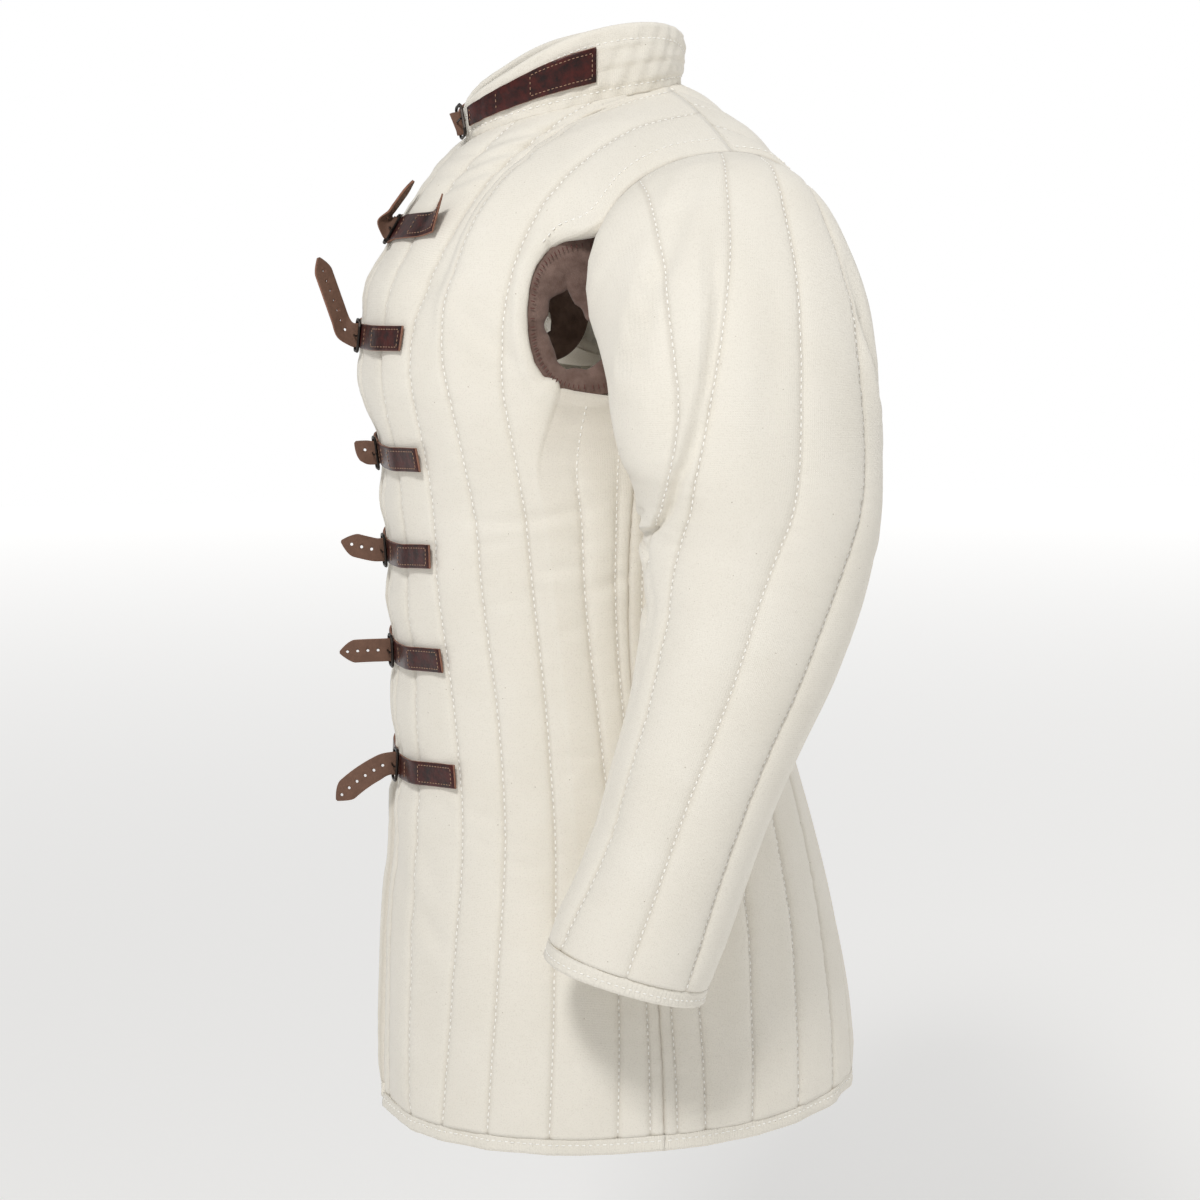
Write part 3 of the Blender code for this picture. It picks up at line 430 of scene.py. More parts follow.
def back_grid():
    """Full-height columns of the left half of the back and the low columns under its armhole."""
    lines = [line_rows(line) for line in BACK_LINES]
    tall = [between(a, b, share) for a, b in zip(lines, lines[1:]) for share in (0.0, 1 / 3, 2 / 3)]
    tall.append(lines[-1])
    edge = lower_rows(UNDER_BACK_2)
    edge += [body_point(UNDER_BACK_2[-1] + 6, -0.236) + (0.014, 0.012, 0.002)]
    edge += [armhole_point(t) for t in (236.25, 225.0, 213.75, 202.5, 180.0, 157.5, 135.0, 112.5, 90.0)]
    tall = copied(tall + [between(tall[-1], edge, 0.5), edge])
    tops = [neck_point(t) - (0.0, 0.0, 0.0006) for t in (1.0, 0.93, 0.85)]
    settle(tall, tops + [shoulder_point(s, SEAM) for s in (0.0, 0.12, 0.24, 0.36, 0.47, 0.58, 0.69, 0.84, 1.0)])
    under = lower_rows(UNDER_BACK_1)
    side = [p + (0.0, SEAM, 0.0) for p in lower_rows(SIDE)]
    low = copied([between(edge, under, 0.5), under, between(under, side, 0.5), side], len(LOWER))
    return tall, low


def wall_ways(grid, seam_columns=(), seam_tops=(), arm_edges=(), rim=(), neck=()):
    """Way through the wall at each point: square to the seams, so that the pieces that meet there stay apart."""
    g = np.array(grid)
    ways = unit(np.cross(np.gradient(g, axis=0), np.gradient(g, axis=1)))
    rows = g.shape[1]
    for i, k in [(i, k) for i in seam_columns for k in range(rows)] + [(i, rows - 1) for i in seam_tops]:
        ways[i][k] = unit(ways[i][k] * (1, 0, 1))
    for i, first in arm_edges:
        for k in range(first, rows):
            ways[i][k] = unit(ways[i][k] * (0, 1, 1))
    for i, k in rim:
        ways[i][k] = (math.copysign(1.0, g[i][k][0]), 0.0, 0.0)
    for i in neck:
        ways[i][-1] = 0.6 * unit(g[i][-1] - (0.0, NECK_MIDDLE, g[i][-1][2])) + (0.0, 0.0, 0.8)
    return ways


class Panel:
    """A body panel read smoothly: full-height columns, then low columns that stop at the armhole."""

    def __init__(self, tall, low, wall, ways_tall, ways_full):
        self.tall, self.columns = np.array(tall), len(tall)
        full = np.concatenate((self.tall[:, : ARMPIT_ROW + 1], np.array(low)))
        self.full = self.lengthened(full, self.tall)
        ways = np.array(ways_tall)
        ways[:, :ARMPIT_ROW] = ways_full[: self.columns, :ARMPIT_ROW]
        self.tall_in = self.tall - ways * wall
        full_in = np.concatenate((self.tall_in[:, : ARMPIT_ROW + 1],
                                  full[self.columns:] - ways_full[self.columns:] * wall))
        self.full_in = self.lengthened(full_in, self.tall_in)

    def lengthened(self, full, tall):
        """One more row above the armpit, so that both readings leave it in the same direction."""
        extra = 2 * full[:, -1] - full[:, -2]
        extra[: self.columns] = tall[:, ARMPIT_ROW + 1]
        return np.concatenate((full, extra[:, None]), axis=1)

    def read(self, u, v, inside=False):
        tall, full = (self.tall_in, self.full_in) if inside else (self.tall, self.full)
        low = v <= ARMPIT_ROW + 1e-6
        out = np.zeros((len(u), 3))
        out[low] = read_grid(full, u[low], np.minimum(v[low], ARMPIT_ROW))
        out[~low] = read_grid(tall, u[~low], v[~low])
        return out


def front_panel(wall, right=False):
    tall, low = front_grid()
    if right:
        for k, p in enumerate(tall[0]):
            p[0] = 0.0012 + 0.0028 * k / (len(tall[0]) - 1)
    ways = wall_ways(tall, seam_tops=range(8, len(tall)), arm_edges=((-1, ARMPIT_ROW + 7),), neck=range(8),
                     rim=[(-1, k) for k in range(ARMPIT_ROW, ARMPIT_ROW + 7)])
    full = [column[: len(LOWER)] for column in tall] + low
    ways_full = wall_ways(full, seam_columns=(-1,), rim=[(-i, -1) for i in range(1, len(low) + 2)])
    return Panel(tall, low, wall, ways, ways_full)


def back_panel(wall):
    """Left half of the back from its middle; the other half is its mirror image."""
    tall, low = back_grid()
    flip = np.array((-1.0, 1.0, 1.0))
    mirrored = [[p * flip for p in column] for column in reversed(tall[1:])] + tall
    middle = len(tall) - 1
    # The columns run from the middle to the side, against the front's, so the ways are turned round.
    ways = -wall_ways(mirrored)[middle:]
    square = np.array([[1.0, 0.0, 1.0]])
    for i in range(3, len(tall)):
        ways[i][-1] = unit(ways[i][-1] * square[0])
    for k in range(len(LOWER), len(tall[0])):
        ways[-1][k] = unit(ways[-1][k] * (0, 1, 1))
    for i in range(3):
        ways[i][-1] = 0.6 * unit(tall[i][-1] - (0.0, NECK_MIDDLE, tall[i][-1][2])) + (0.0, 0.0, 0.8)
    full = [column[: len(LOWER)] for column in tall] + low
    both = [[p * flip for p in column] for column in reversed(full[1:])] + full
    ways_full = -wall_ways(both)[len(full) - 1:]
    for k in range(len(LOWER)):
        ways_full[-1][k] = unit(ways_full[-1][k] * (1, 0, 1))
    return Panel(tall, low, wall, ways, ways_full)


class Surface:
    """Outer skin of a padded piece, with its quilting lines, creases and soft unevenness."""

    def __init__(self, read, top, breaks, seed, flat, outward=1.0):
        self.read, self.top, self.breaks, self.seed = read, top, breaks, seed
        self.flat, self.outward = flat, outward
        self.crown = sizes().crown
        self.ring = 1000
        self.split = top
        self.fade = lambda u, v: np.ones(len(u))
        self.extra = lambda u, v, p: np.zeros(len(u))

    def slopes(self, u, v):
        e = 0.02
        across = (self.read(u + e, v) - self.read(u - e, v)) / (2 * e)
        # Below the split the columns beside the armhole stop, so neither side reads across it.
        low = v <= self.split + 1e-6
        above = np.minimum(v + e, np.where(low, self.split, self.top))
        below = np.maximum(v - e, np.where(low, 0.0, self.split + 1e-4))
        along = (self.read(u, above) - self.read(u, below)) / (above - below)[:, None]
        return across, along

    def quilting(self, u, v, across):
        """Height of the padding and closeness to a stitched line."""
        column = np.linalg.norm(across, axis=1)
        height, closeness = np.zeros(len(u)), np.zeros(len(u))
        for weight, marks in self.breaks(u, v):
            marks = np.array(marks)
            i = np.clip(np.searchsorted(marks, u, side="right") - 1, 0, len(marks) - 2)
            a, b = marks[i], marks[i + 1]
            share = np.clip((u - a) / (b - a), 0, 1)
            wide = column * (b - a)
            full = np.clip(wide / 0.040, 0.0, 1.0) ** 0.8
            height += weight * full * (1 - abs(2 * share - 1) ** 2.6) ** 0.75
            off = np.minimum(share, 1 - share) * wide
            closeness = np.maximum(closeness, weight * np.exp(-((off / 0.0016) ** 2)))
            line = np.where(share < 0.5, i, i + 1) % self.ring
            run = np.stack((self.flat(u, v)[1] + line * 0.37, off * 0.35), axis=1)
            height += 0.085 * weight * np.exp(-((off / 0.008) ** 2)) * ripple(run, 0.0125, self.seed + 5)
        return height, closeness

    def outer(self, u, v):
        p = self.read(u, v)
        across, along = self.slopes(u, v)
        n = unit(np.cross(across, along)) * self.outward
        height, closeness = self.quilting(u, v, across)
        fade = self.fade(u, v)
        lift = self.crown * height * fade + self.extra(u, v, p)
        lift += 0.0009 * fade * ripple(p * (1.0, 1.0, 0.5), 0.075, self.seed)
        lift -= 0.0005 * closeness * fade
        return p + n * lift[:, None], n, closeness


def spaced(marks, counts):
    """Column places between marks, closer together beside each mark."""
    places = [marks[0]]
    for a, b, n in zip(marks, marks[1:], counts):
        t = np.arange(1, n + 1) / n
        places.extend(a + (b - a) * (t - 0.62 * np.sin(2 * math.pi * t) / (2 * math.pi)))
    return np.array(places)


def shell(us, vs, place, keep=None, closed=False, edge_cuts=1, flat=None):
    """Closed wall over a grid of places. place(u, v, depth) gives points and a tint, the closeness to a stitched line
    that the canvas darkens as painted shade; depth is 0 outside, 1 inside.

    Faces of the outside have material 0, those round the edge 1 and those inside 2.
    """
    bm = bmesh.new()
    bmesh.ops.create_grid(bm, x_segments=len(us) - 1, y_segments=len(vs) - 1, size=1.0)
    start = np.array([v.co for v in bm.verts])
    low, span = start.min(0), np.maximum(np.ptp(start, axis=0), 1e-9)
    if keep is not None:
        column = np.rint((start[:, 0] - low[0]) / span[0] * (len(us) - 1)).astype(int)
        row = np.rint((start[:, 1] - low[1]) / span[1] * (len(vs) - 1)).astype(int)
        kept = keep(us[column], vs[row])
        gone = [v for v, stays in zip(list(bm.verts), kept) if not stays]
        bmesh.ops.delete(bm, geom=gone, context="VERTS")
    bmesh.ops.solidify(bm, geom=bm.faces[:], thickness=1.0)
    upright = [e for e in bm.edges if abs(e.verts[0].co.z - e.verts[1].co.z) > 0.9]
    if edge_cuts:
        bmesh.ops.subdivide_edges(bm, edges=upright, cuts=edge_cuts, use_grid_fill=True)
    bm.normal_update()
    if closed:
        ends = [f for f in bm.faces if abs(f.normal.x) > 0.9]
        bmesh.ops.delete(bm, geom=ends, context="FACES")
    laid = np.array([v.co for v in bm.verts])
    bottom, top = laid[:, 2].min(), laid[:, 2].max()
    first = next(f for f in bm.faces if abs(f.normal.z) > 0.9)
    facing_up = first.normal.z > 0
    at_top = first.calc_center_median().z > (bottom + top) / 2
    if facing_up != at_top:
        bmesh.ops.reverse_faces(bm, faces=bm.faces)
    depth = (top - laid[:, 2]) / (top - bottom)
    depth = np.where(depth < 0.01, 0.0, np.where(depth > 0.99, 1.0, depth))
    u = np.interp((laid[:, 0] - low[0]) / span[0] * (len(us) - 1), range(len(us)), us)
    v = np.interp((laid[:, 1] - low[1]) / span[1] * (len(vs) - 1), range(len(vs)), vs)
    points, tint = place(u, v, depth)
    a_all, b_all = flat(u, v)
    layer = bm.loops.layers.uv.new("cloth")
    # Closeness to a stitched line, which the canvas reads to paint shade down the line.
    value = bm.verts.layers.float.new("line")
    for vert, point, shade, a, b in zip(list(bm.verts), points, tint, a_all, b_all):
        vert.co = point
        vert[value] = shade
        for loop in vert.link_loops:
            loop[layer].uv = (a, b)
    bm.verts.index_update()
    for face in bm.faces:
        depths = [depth[vert.index] for vert in face.verts]
        face.material_index = 0 if max(depths) == 0.0 else 2 if min(depths) == 1.0 else 1
        face.smooth = True
    if closed:
        bmesh.ops.remove_doubles(bm, verts=bm.verts, dist=0.00001)
    if bm.calc_volume(signed=True) < 0:
        bmesh.ops.reverse_faces(bm, faces=bm.faces)
    return bm


def place_in_scene(name, bm, materials, node_names=(), mirror=False):
    """Turns a bmesh into a finished piece that rides on the garment's body."""
    if mirror:
        bmesh.ops.scale(bm, vec=(-1, 1, 1), verts=bm.verts)
        bmesh.ops.reverse_faces(bm, faces=bm.faces)
    mesh = bpy.data.meshes.new(name)
    bm.to_mesh(mesh)
    bm.free()
    for material in materials:
        mesh.materials.append(material)
    ob = bpy.data.objects.new(name, mesh)
    bpy.context.scene.collection.objects.link(ob)
    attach(ob, "root")
    if node_names:
        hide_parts(*node_names)
    return ob


def walled(surface, inside, bulge=(0.0, 0.0, 0.0, 0.0), ends=None):
    """Place function of a padded wall; bulge rounds its first and last columns, then its first and last rows."""

    def place(u, v, depth):
        outer, _, closeness = surface.outer(u, v)
        inner = inside(u, v)
        points = outer * (1 - depth)[:, None] + inner * depth[:, None]
        rim = (depth > 0) & (depth < 1)
        if ends is not None and rim.any():
            across, along = surface.slopes(u, v)
            swell = np.sqrt(np.clip(1 - (2 * depth - 1) ** 2, 0, 1))
            sides = ((u <= ends[0] + 1e-6, -across), (u >= ends[1] - 1e-6, across),
                     (v <= ends[2] + 1e-6, -along), (v >= ends[3] - 1e-6, along))
            for (here, way), size in zip(sides, bulge):
                push = rim & here
                points[push] += unit(way[push]) * (size * swell[push])[:, None]
        # The tint is the closeness to a stitched line on the outside, used for painted shade.
        return points, closeness * (depth == 0.0)

    return place


# The form of a stitch, kept once it is made.
STITCH = {}


def stitch_form():
    """Corners and faces of one stitch, a small bead drawn out along X."""
    if not STITCH:
        bm = bmesh.new()
        bmesh.ops.create_uvsphere(bm, u_segments=6, v_segments=3, radius=0.5)
        STITCH["corners"] = np.array([(v.co.z, v.co.x, v.co.y) for v in bm.verts])
        bm.verts.index_update()
        STITCH["faces"] = [tuple(v.index for v in f.verts) for f in bm.faces]
        bm.free()
    return STITCH["corners"], STITCH["faces"]


def stitches(name, runs, material, size=None, pitch=None, seed=1, mirror=False):
    """One mesh of stitches along runs of points with their normals."""
    size, pitch = size or (sizes().stitch_length, 0.0013, 0.0011), pitch or sizes().stitch_pitch
    corners, faces = stitch_form()
    rng = np.random.default_rng(seed)
    points, polygons = [], []
    for line, normals in runs:
        line, normals = np.asarray(line, float), np.asarray(normals, float)
        steps = np.concatenate(([0.0], np.cumsum(np.linalg.norm(np.diff(line, axis=0), axis=1))))
        count = int(steps[-1] / pitch)
        if count < 1:
            continue
        middle = (np.arange(count) + 0.5) * steps[-1] / count
        middle = middle + rng.uniform(-0.05, 0.05, count) * pitch
        centre = np.stack([np.interp(middle, steps, line[:, k]) for k in range(3)], axis=1)
        ahead = np.stack([np.interp(middle + 0.001, steps, line[:, k]) for k in range(3)], axis=1)
        behind = np.stack([np.interp(middle - 0.001, steps, line[:, k]) for k in range(3)], axis=1)
        way = unit(ahead - behind)
        up = unit(np.stack([np.interp(middle, steps, normals[:, k]) for k in range(3)], axis=1))
        side = unit(np.cross(up, way))
        length = size[0] * rng.uniform(0.85, 1.1, count)
        bead = (corners[None, :, 0:1] * (way * length[:, None])[:, None, :]
                + corners[None, :, 1:2] * side[:, None, :] * size[1]
                + corners[None, :, 2:3] * up[:, None, :] * size[2])
        bead = bead + (centre + up * size[2] * 0.28)[:, None, :]
        base = sum(len(p) for p in points)
        points.append(bead.reshape(-1, 3))
        polygons.extend(tuple(base + i * len(corners) + j for j in face) for i in range(count) for face in faces)
    mesh = bpy.data.meshes.new(name)
    flip = np.array((-1.0 if mirror else 1.0, 1.0, 1.0))
    mesh.from_pydata(np.concatenate(points) * flip, [], polygons)
    mesh.shade_smooth()
    bm = bmesh.new()
    bm.from_mesh(mesh)
    bmesh.ops.recalc_face_normals(bm, faces=bm.faces)
    bm.to_mesh(mesh)
    bm.free()
    mesh.materials.append(material)
    ob = bpy.data.objects.new(name, mesh)
    bpy.context.scene.collection.objects.link(ob)
    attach(ob, "root")
    return ob


def add(tree, kind, links=None, **settings):
    """Adds a node with its settings; links gives each input a value or another node's output."""
    made = tree.nodes.new(kind)
    for name, value in settings.items():
        setattr(made, name, value)
    for socket, value in (links or {}).items():
        if isinstance(value, bpy.types.NodeSocket):
            tree.links.new(value, made.inputs[socket])
        else:
            made.inputs[socket].default_value = value
    return made


def per_mm(size):
    """Texture scale whose features are this many millimetres across."""
    return 1000.0 / size


def bands(size):
    """Wave texture scale whose bands are this many millimetres apart; the texture draws 20 radians a unit."""
    return per_mm(size) * 2 * math.pi / 20


def colour(name):
    return (*getattr(bpy.context.scene.gambeson_colours, name), 1.0)


def sizes():
    return bpy.context.scene.gambeson_sizes


def new_material(name, **sockets):
    material = bpy.data.materials.new(name)
    material.use_nodes = True
    tree = material.node_tree
    shader = tree.nodes["Principled BSDF"]
    for socket, value in sockets.items():
        shader.inputs[socket.replace("_", " ")].default_value = value
    return material, tree, shader


def canvas_material(name, ribbed=False):
    """Undyed cotton canvas with a raised nap: matt and soft-edged, creamy, flecked with bits of seed, with painted
    shade down the stitched lines.
    """
    material, tree, shader = new_material(name, Roughness=0.92, IOR=1.45, Sheen_Weight=0.22, Sheen_Roughness=0.55)
    shader.inputs["Specular IOR Level"].default_value = 0.25
    place = add(tree, "ShaderNodeTexCoord")
    # Clouding of the undyed cotton, a few centimetres across.
    cloud = add(tree, "ShaderNodeTexNoise", {"Vector": place.outputs["Object"], "Scale": per_mm(55), "Detail": 3.0})
    # Flecked fibres about 1 mm across.
    fleck = add(tree, "ShaderNodeTexNoise", {"Vector": place.outputs["Object"], "Scale": per_mm(1.2), "Detail": 4.0,
                                             "Roughness": 0.62})
    fleck_share = add(tree, "ShaderNodeMapRange", {"Value": fleck.outputs["Fac"], "From Min": 0.52, "From Max": 0.78,
                                                   "To Max": 0.20})
    base = add(tree, "ShaderNodeMix", {"Factor": cloud.outputs["Fac"], "A": colour("canvas"),
                                       "B": colour("canvas_shade")}, data_type="RGBA")
    flecked = add(tree, "ShaderNodeMix", {"Factor": fleck_share.outputs["Result"], "A": base.outputs["Result"],
                                          "B": colour("seed")}, data_type="RGBA")
    # Bits of seed case up to 1 mm across, about one to each 13 mm.
    seed = add(tree, "ShaderNodeTexVoronoi", {"Vector": place.outputs["Object"], "Scale": per_mm(13.0),
                                              "Randomness": 1.0})
    seed_share = add(tree, "ShaderNodeMapRange", {"Value": seed.outputs["Distance"], "From Min": 0.020,
                                                  "From Max": 0.045, "To Min": 0.70, "To Max": 0.0})
    seeded = add(tree, "ShaderNodeMix", {"Factor": seed_share.outputs["Result"], "A": flecked.outputs["Result"],
                                         "B": colour("seed")}, data_type="RGBA")
    # Painted shade: the cloth is darkened towards the seed colour down in a stitched line.
    line = add(tree, "ShaderNodeAttribute", attribute_name="line")
    stitch_shade_share = add(tree, "ShaderNodeMath", {0: line.outputs["Fac"], 1: 0.22}, operation="MULTIPLY")
    stitch_shaded = add(tree, "ShaderNodeMix", {"Factor": stitch_shade_share.outputs["Value"], "A": seeded.outputs["Result"],
                                        "B": colour("seed")}, data_type="RGBA")
    tree.links.new(stitch_shaded.outputs["Result"], shader.inputs["Base Color"])
    # Threads 0.7 mm apart, drawn 1.4 mm apart so that they show.
    thread = 1.4
    warp = add(tree, "ShaderNodeTexWave", {"Vector": place.outputs["UV"], "Scale": bands(thread),
                                           "Distortion": 1.4, "Detail": 2.0, "Detail Scale": 1.2},
               wave_type="BANDS", bands_direction="X")
    weft = add(tree, "ShaderNodeTexWave", {"Vector": place.outputs["UV"], "Scale": bands(thread),
                                           "Distortion": 1.4, "Detail": 2.0, "Detail Scale": 1.2},
               wave_type="BANDS", bands_direction="Y")
    weave = add(tree, "ShaderNodeMath", {0: warp.outputs["Fac"], 1: weft.outputs["Fac"]}, operation="ADD")
    nap = add(tree, "ShaderNodeTexNoise", {"Vector": place.outputs["Object"], "Scale": per_mm(0.9), "Detail": 5.0,
                                           "Roughness": 0.7})
    rough = add(tree, "ShaderNodeBump", {"Height": weave.outputs["Value"], "Strength": 0.22, "Distance": 0.0006})
    surface = add(tree, "ShaderNodeBump", {"Height": nap.outputs["Fac"], "Strength": 0.32, "Distance": 0.0008,
                                           "Normal": rough.outputs["Normal"]})
    if ribbed:
        ribs = add(tree, "ShaderNodeTexWave", {"Vector": place.outputs["UV"], "Scale": bands(2.6),
                                               "Distortion": 2.0}, wave_type="BANDS", bands_direction="X")
        surface = add(tree, "ShaderNodeBump", {"Height": ribs.outputs["Fac"], "Strength": 0.30, "Distance": 0.0008,
                                               "Normal": surface.outputs["Normal"]})
    tree.links.new(surface.outputs["Normal"], shader.inputs["Normal"])
    return material


def thread_material(name, shade):
    """Spun cotton thread: a soft low gloss on round beads."""
    material, tree, shader = new_material(name, Base_Color=colour(shade), Roughness=0.66, IOR=1.5, Sheen_Weight=0.15)
    place = add(tree, "ShaderNodeTexCoord")
    twist = add(tree, "ShaderNodeTexNoise", {"Vector": place.outputs["Object"], "Scale": per_mm(0.5)})
    bump = add(tree, "ShaderNodeBump", {"Height": twist.outputs["Fac"], "Strength": 0.3, "Distance": 0.0002})
    tree.links.new(bump.outputs["Normal"], shader.inputs["Normal"])
    return material


def suede_material():
    """Brushed brown suede: matt, clouded where the nap lies different ways, with a faint pale bloom."""
    material, tree, shader = new_material("brushed_suede", Roughness=0.95, IOR=1.45, Sheen_Weight=0.30,
                                          Sheen_Roughness=0.5)
    shader.inputs["Specular IOR Level"].default_value = 0.2
    place = add(tree, "ShaderNodeTexCoord")
    cloud = add(tree, "ShaderNodeTexNoise", {"Vector": place.outputs["Object"], "Scale": per_mm(16), "Detail": 5.0,
                                             "Roughness": 0.65})
    share = add(tree, "ShaderNodeMapRange", {"Value": cloud.outputs["Fac"], "From Min": 0.34, "From Max": 0.66})
    base = add(tree, "ShaderNodeMix", {"Factor": share.outputs["Result"], "A": colour("suede_dark"),
                                       "B": colour("suede")}, data_type="RGBA")
    tree.links.new(base.outputs["Result"], shader.inputs["Base Color"])
    nap = add(tree, "ShaderNodeTexNoise", {"Vector": place.outputs["Object"], "Scale": per_mm(0.8), "Detail": 4.0})
    bump = add(tree, "ShaderNodeBump", {"Height": nap.outputs["Fac"], "Strength": 0.5, "Distance": 0.0008})
    tree.links.new(bump.outputs["Normal"], shader.inputs["Normal"])
    return material


def strap_material():
    """Vegetable-tanned strap leather, dyed oxblood and glazed: dark, glossy, with pores and drag marks."""
    material, tree, shader = new_material("oxblood_strap_leather", Roughness=0.34, IOR=1.38, Coat_Weight=0.15,
                                          Coat_Roughness=0.22)
    place = add(tree, "ShaderNodeTexCoord")
    cloud = add(tree, "ShaderNodeTexNoise", {"Vector": place.outputs["Object"], "Scale": per_mm(9), "Detail": 6.0,
                                             "Roughness": 0.7})
    share = add(tree, "ShaderNodeMapRange", {"Value": cloud.outputs["Fac"], "From Min": 0.36, "From Max": 0.62})
    base = add(tree, "ShaderNodeMix", {"Factor": share.outputs["Result"], "A": colour("oxblood_dark"),
                                       "B": colour("oxblood")}, data_type="RGBA")
    tree.links.new(base.outputs["Result"], shader.inputs["Base Color"])
    # Grain cells 0.9 mm across.
    grain = add(tree, "ShaderNodeTexVoronoi", {"Vector": place.outputs["Object"], "Scale": per_mm(0.9)},
                feature="DISTANCE_TO_EDGE")
    first = add(tree, "ShaderNodeBump", {"Height": grain.outputs["Distance"], "Strength": 0.25, "Distance": 0.0003})
    wrinkle = add(tree, "ShaderNodeTexNoise", {"Vector": place.outputs["Object"], "Scale": per_mm(5), "Detail": 3.0})
    bump = add(tree, "ShaderNodeBump", {"Height": wrinkle.outputs["Fac"], "Strength": 0.35, "Distance": 0.0012,
                                        "Normal": first.outputs["Normal"]})
    tree.links.new(bump.outputs["Normal"], shader.inputs["Normal"])
    return material


def raw_leather_material(name, shade, dark):
    """Undyed flesh side or cut edge of strap leather: light brown, dull and fibrous."""
    material, tree, shader = new_material(name, Roughness=0.78, IOR=1.45)
    place = add(tree, "ShaderNodeTexCoord")
    cloud = add(tree, "ShaderNodeTexNoise", {"Vector": place.outputs["Object"], "Scale": per_mm(6), "Detail": 5.0,
                                             "Roughness": 0.7})
    base = add(tree, "ShaderNodeMix", {"Factor": cloud.outputs["Fac"], "A": colour(dark), "B": colour(shade)},
               data_type="RGBA")
    tree.links.new(base.outputs["Result"], shader.inputs["Base Color"])
    fibre = add(tree, "ShaderNodeTexNoise", {"Vector": place.outputs["Object"], "Scale": per_mm(0.7), "Detail": 4.0})
    bump = add(tree, "ShaderNodeBump", {"Height": fibre.outputs["Fac"], "Strength": 0.4, "Distance": 0.0005})
    tree.links.new(bump.outputs["Normal"], shader.inputs["Normal"])
    return material


def iron_material():
    """Burnished, oiled iron wire: dark, with soft highlights and dull patches."""
    material, tree, shader = new_material("burnished_iron", Metallic=1.0, Base_Color=colour("iron"))
    place = add(tree, "ShaderNodeTexCoord")
    patch = add(tree, "ShaderNodeTexNoise", {"Vector": place.outputs["Object"], "Scale": per_mm(4), "Detail": 4.0})
    rough = add(tree, "ShaderNodeMapRange", {"Value": patch.outputs["Fac"], "To Min": 0.24, "To Max": 0.50})
    tree.links.new(rough.outputs["Result"], shader.inputs["Roughness"])
    bump = add(tree, "ShaderNodeBump", {"Height": patch.outputs["Fac"], "Strength": 0.2, "Distance": 0.0003})
    tree.links.new(bump.outputs["Normal"], shader.inputs["Normal"])
    return material


def finish_of(name):
    """The material of this name, made the first time that it is asked for."""
    makers = {
        "napped_canvas": lambda: canvas_material("napped_canvas"),
        "folded_canvas": lambda: canvas_material("folded_canvas", ribbed=True),
        "cotton_thread": lambda: thread_material("cotton_thread", "thread"),
        "waxed_thread": lambda: thread_material("waxed_thread", "waxed"),
        "red_brown_thread": lambda: thread_material("red_brown_thread", "red_brown"),
        "brushed_suede": suede_material,
        "oxblood_strap_leather": strap_material,
        "cut_leather_edge": lambda: raw_leather_material("cut_leather_edge", "cut_edge", "flesh_dark"),
        "leather_flesh_side": lambda: raw_leather_material("leather_flesh_side", "flesh", "flesh_dark"),
        "burnished_iron": iron_material,
    }
    return bpy.data.materials.get(name) or makers[name]()


LOW_MARKS = (0.0, 0.6, 3.0, 6.0, 9.0, 12.0, 16.0, 17.4, 18.0)
HIGH_MARKS = (0.0, 0.6, 3.0, 6.0, 9.0, 12.0, 14.0)
FRONT_COLUMNS = spaced((0, 0.6, 3, 6, 9, 12, 14, 16, 17.4, 18.03), (4, 10, 12, 12, 12, 8, 8, 7, 3))
BACK_LOW_MARKS = (0.0, 3.0, 6.0, 9.0, 11.0, 13.0, 14.4, 15.0)
BACK_HIGH_MARKS = (0.0, 3.0, 6.0, 9.0, 11.0)
BACK_COLUMNS = spaced((0, 3, 6, 9, 11, 13, 14.4, 15.03), (12, 12, 12, 8, 8, 6, 3))
PANEL_TOP = ARMPIT_ROW + UPPER
PANEL_ROWS = np.concatenate((np.linspace(0, ARMPIT_ROW, ARMPIT_ROW * 15 + 1),
                             np.linspace(ARMPIT_ROW, PANEL_TOP, UPPER * 8 + 1)[1:]))


def low_weight(v):
    """1 on the skirt and the waist, falling to 0 at the armpit."""
    t = np.clip((ARMPIT_ROW - v) / 2.0, 0.0, 1.0)
    return t * t * (3 - 2 * t)


def panel_flat(u, v):
    """Place on the cloth before it was sewn up, in metres."""
    low = np.minimum(v, ARMPIT_ROW) * 0.0508
    return u * 0.0235, low + np.maximum(v - ARMPIT_ROW, 0.0) * 0.0255


def panel_fade(u, v):
    """The padding thins out at the shoulder seam and over the hem."""
    return np.clip((PANEL_TOP - v) / 1.6, 0, 1) ** 0.7 * np.clip((v + 0.12) / 0.4, 0, 1) ** 0.6


def front_relief(shift, share):
    """Creases of a front, and the rolled cloth edge round its suede oval."""
    (y, z), (half_y, half_z), square = GUSSET

    def relief(u, v, p):
        at = p[:, 1:3] + shift
        total = sum(crease(at, line, width, depth * share) for width, depth, line in FRONT_CREASES)
        total += share * sum(crease(p[:, 1:3], line, width, depth) for width, depth, line in NECK_CREASES)
        # The front edge is pulled in at each strap and stands out between them.
        beside = np.min([np.maximum(np.abs(p[:, 2] - strap[1]) - 0.012, 0) for strap in STRAPS], axis=0)
        pulled = np.exp(-((beside / 0.017) ** 2))
        between_straps = np.clip((p[:, 2] + 0.62) / 0.03, 0, 1) * np.clip((-0.10 - p[:, 2]) / 0.02, 0, 1)
        total += 0.0044 * (1 - pulled) * between_straps * np.clip((5 - u) / 4, 0, 1)
        reach = (abs((p[:, 1] - y) / half_y) ** square + abs((p[:, 2] - z) / half_z) ** square) ** (1 / square)
        off = (reach - 1) * 0.053
        return total + 0.0030 * np.exp(-(((off - 0.0075) / 0.0045) ** 2)) * np.clip((u - 8) / 2, 0, 1)

    return relief


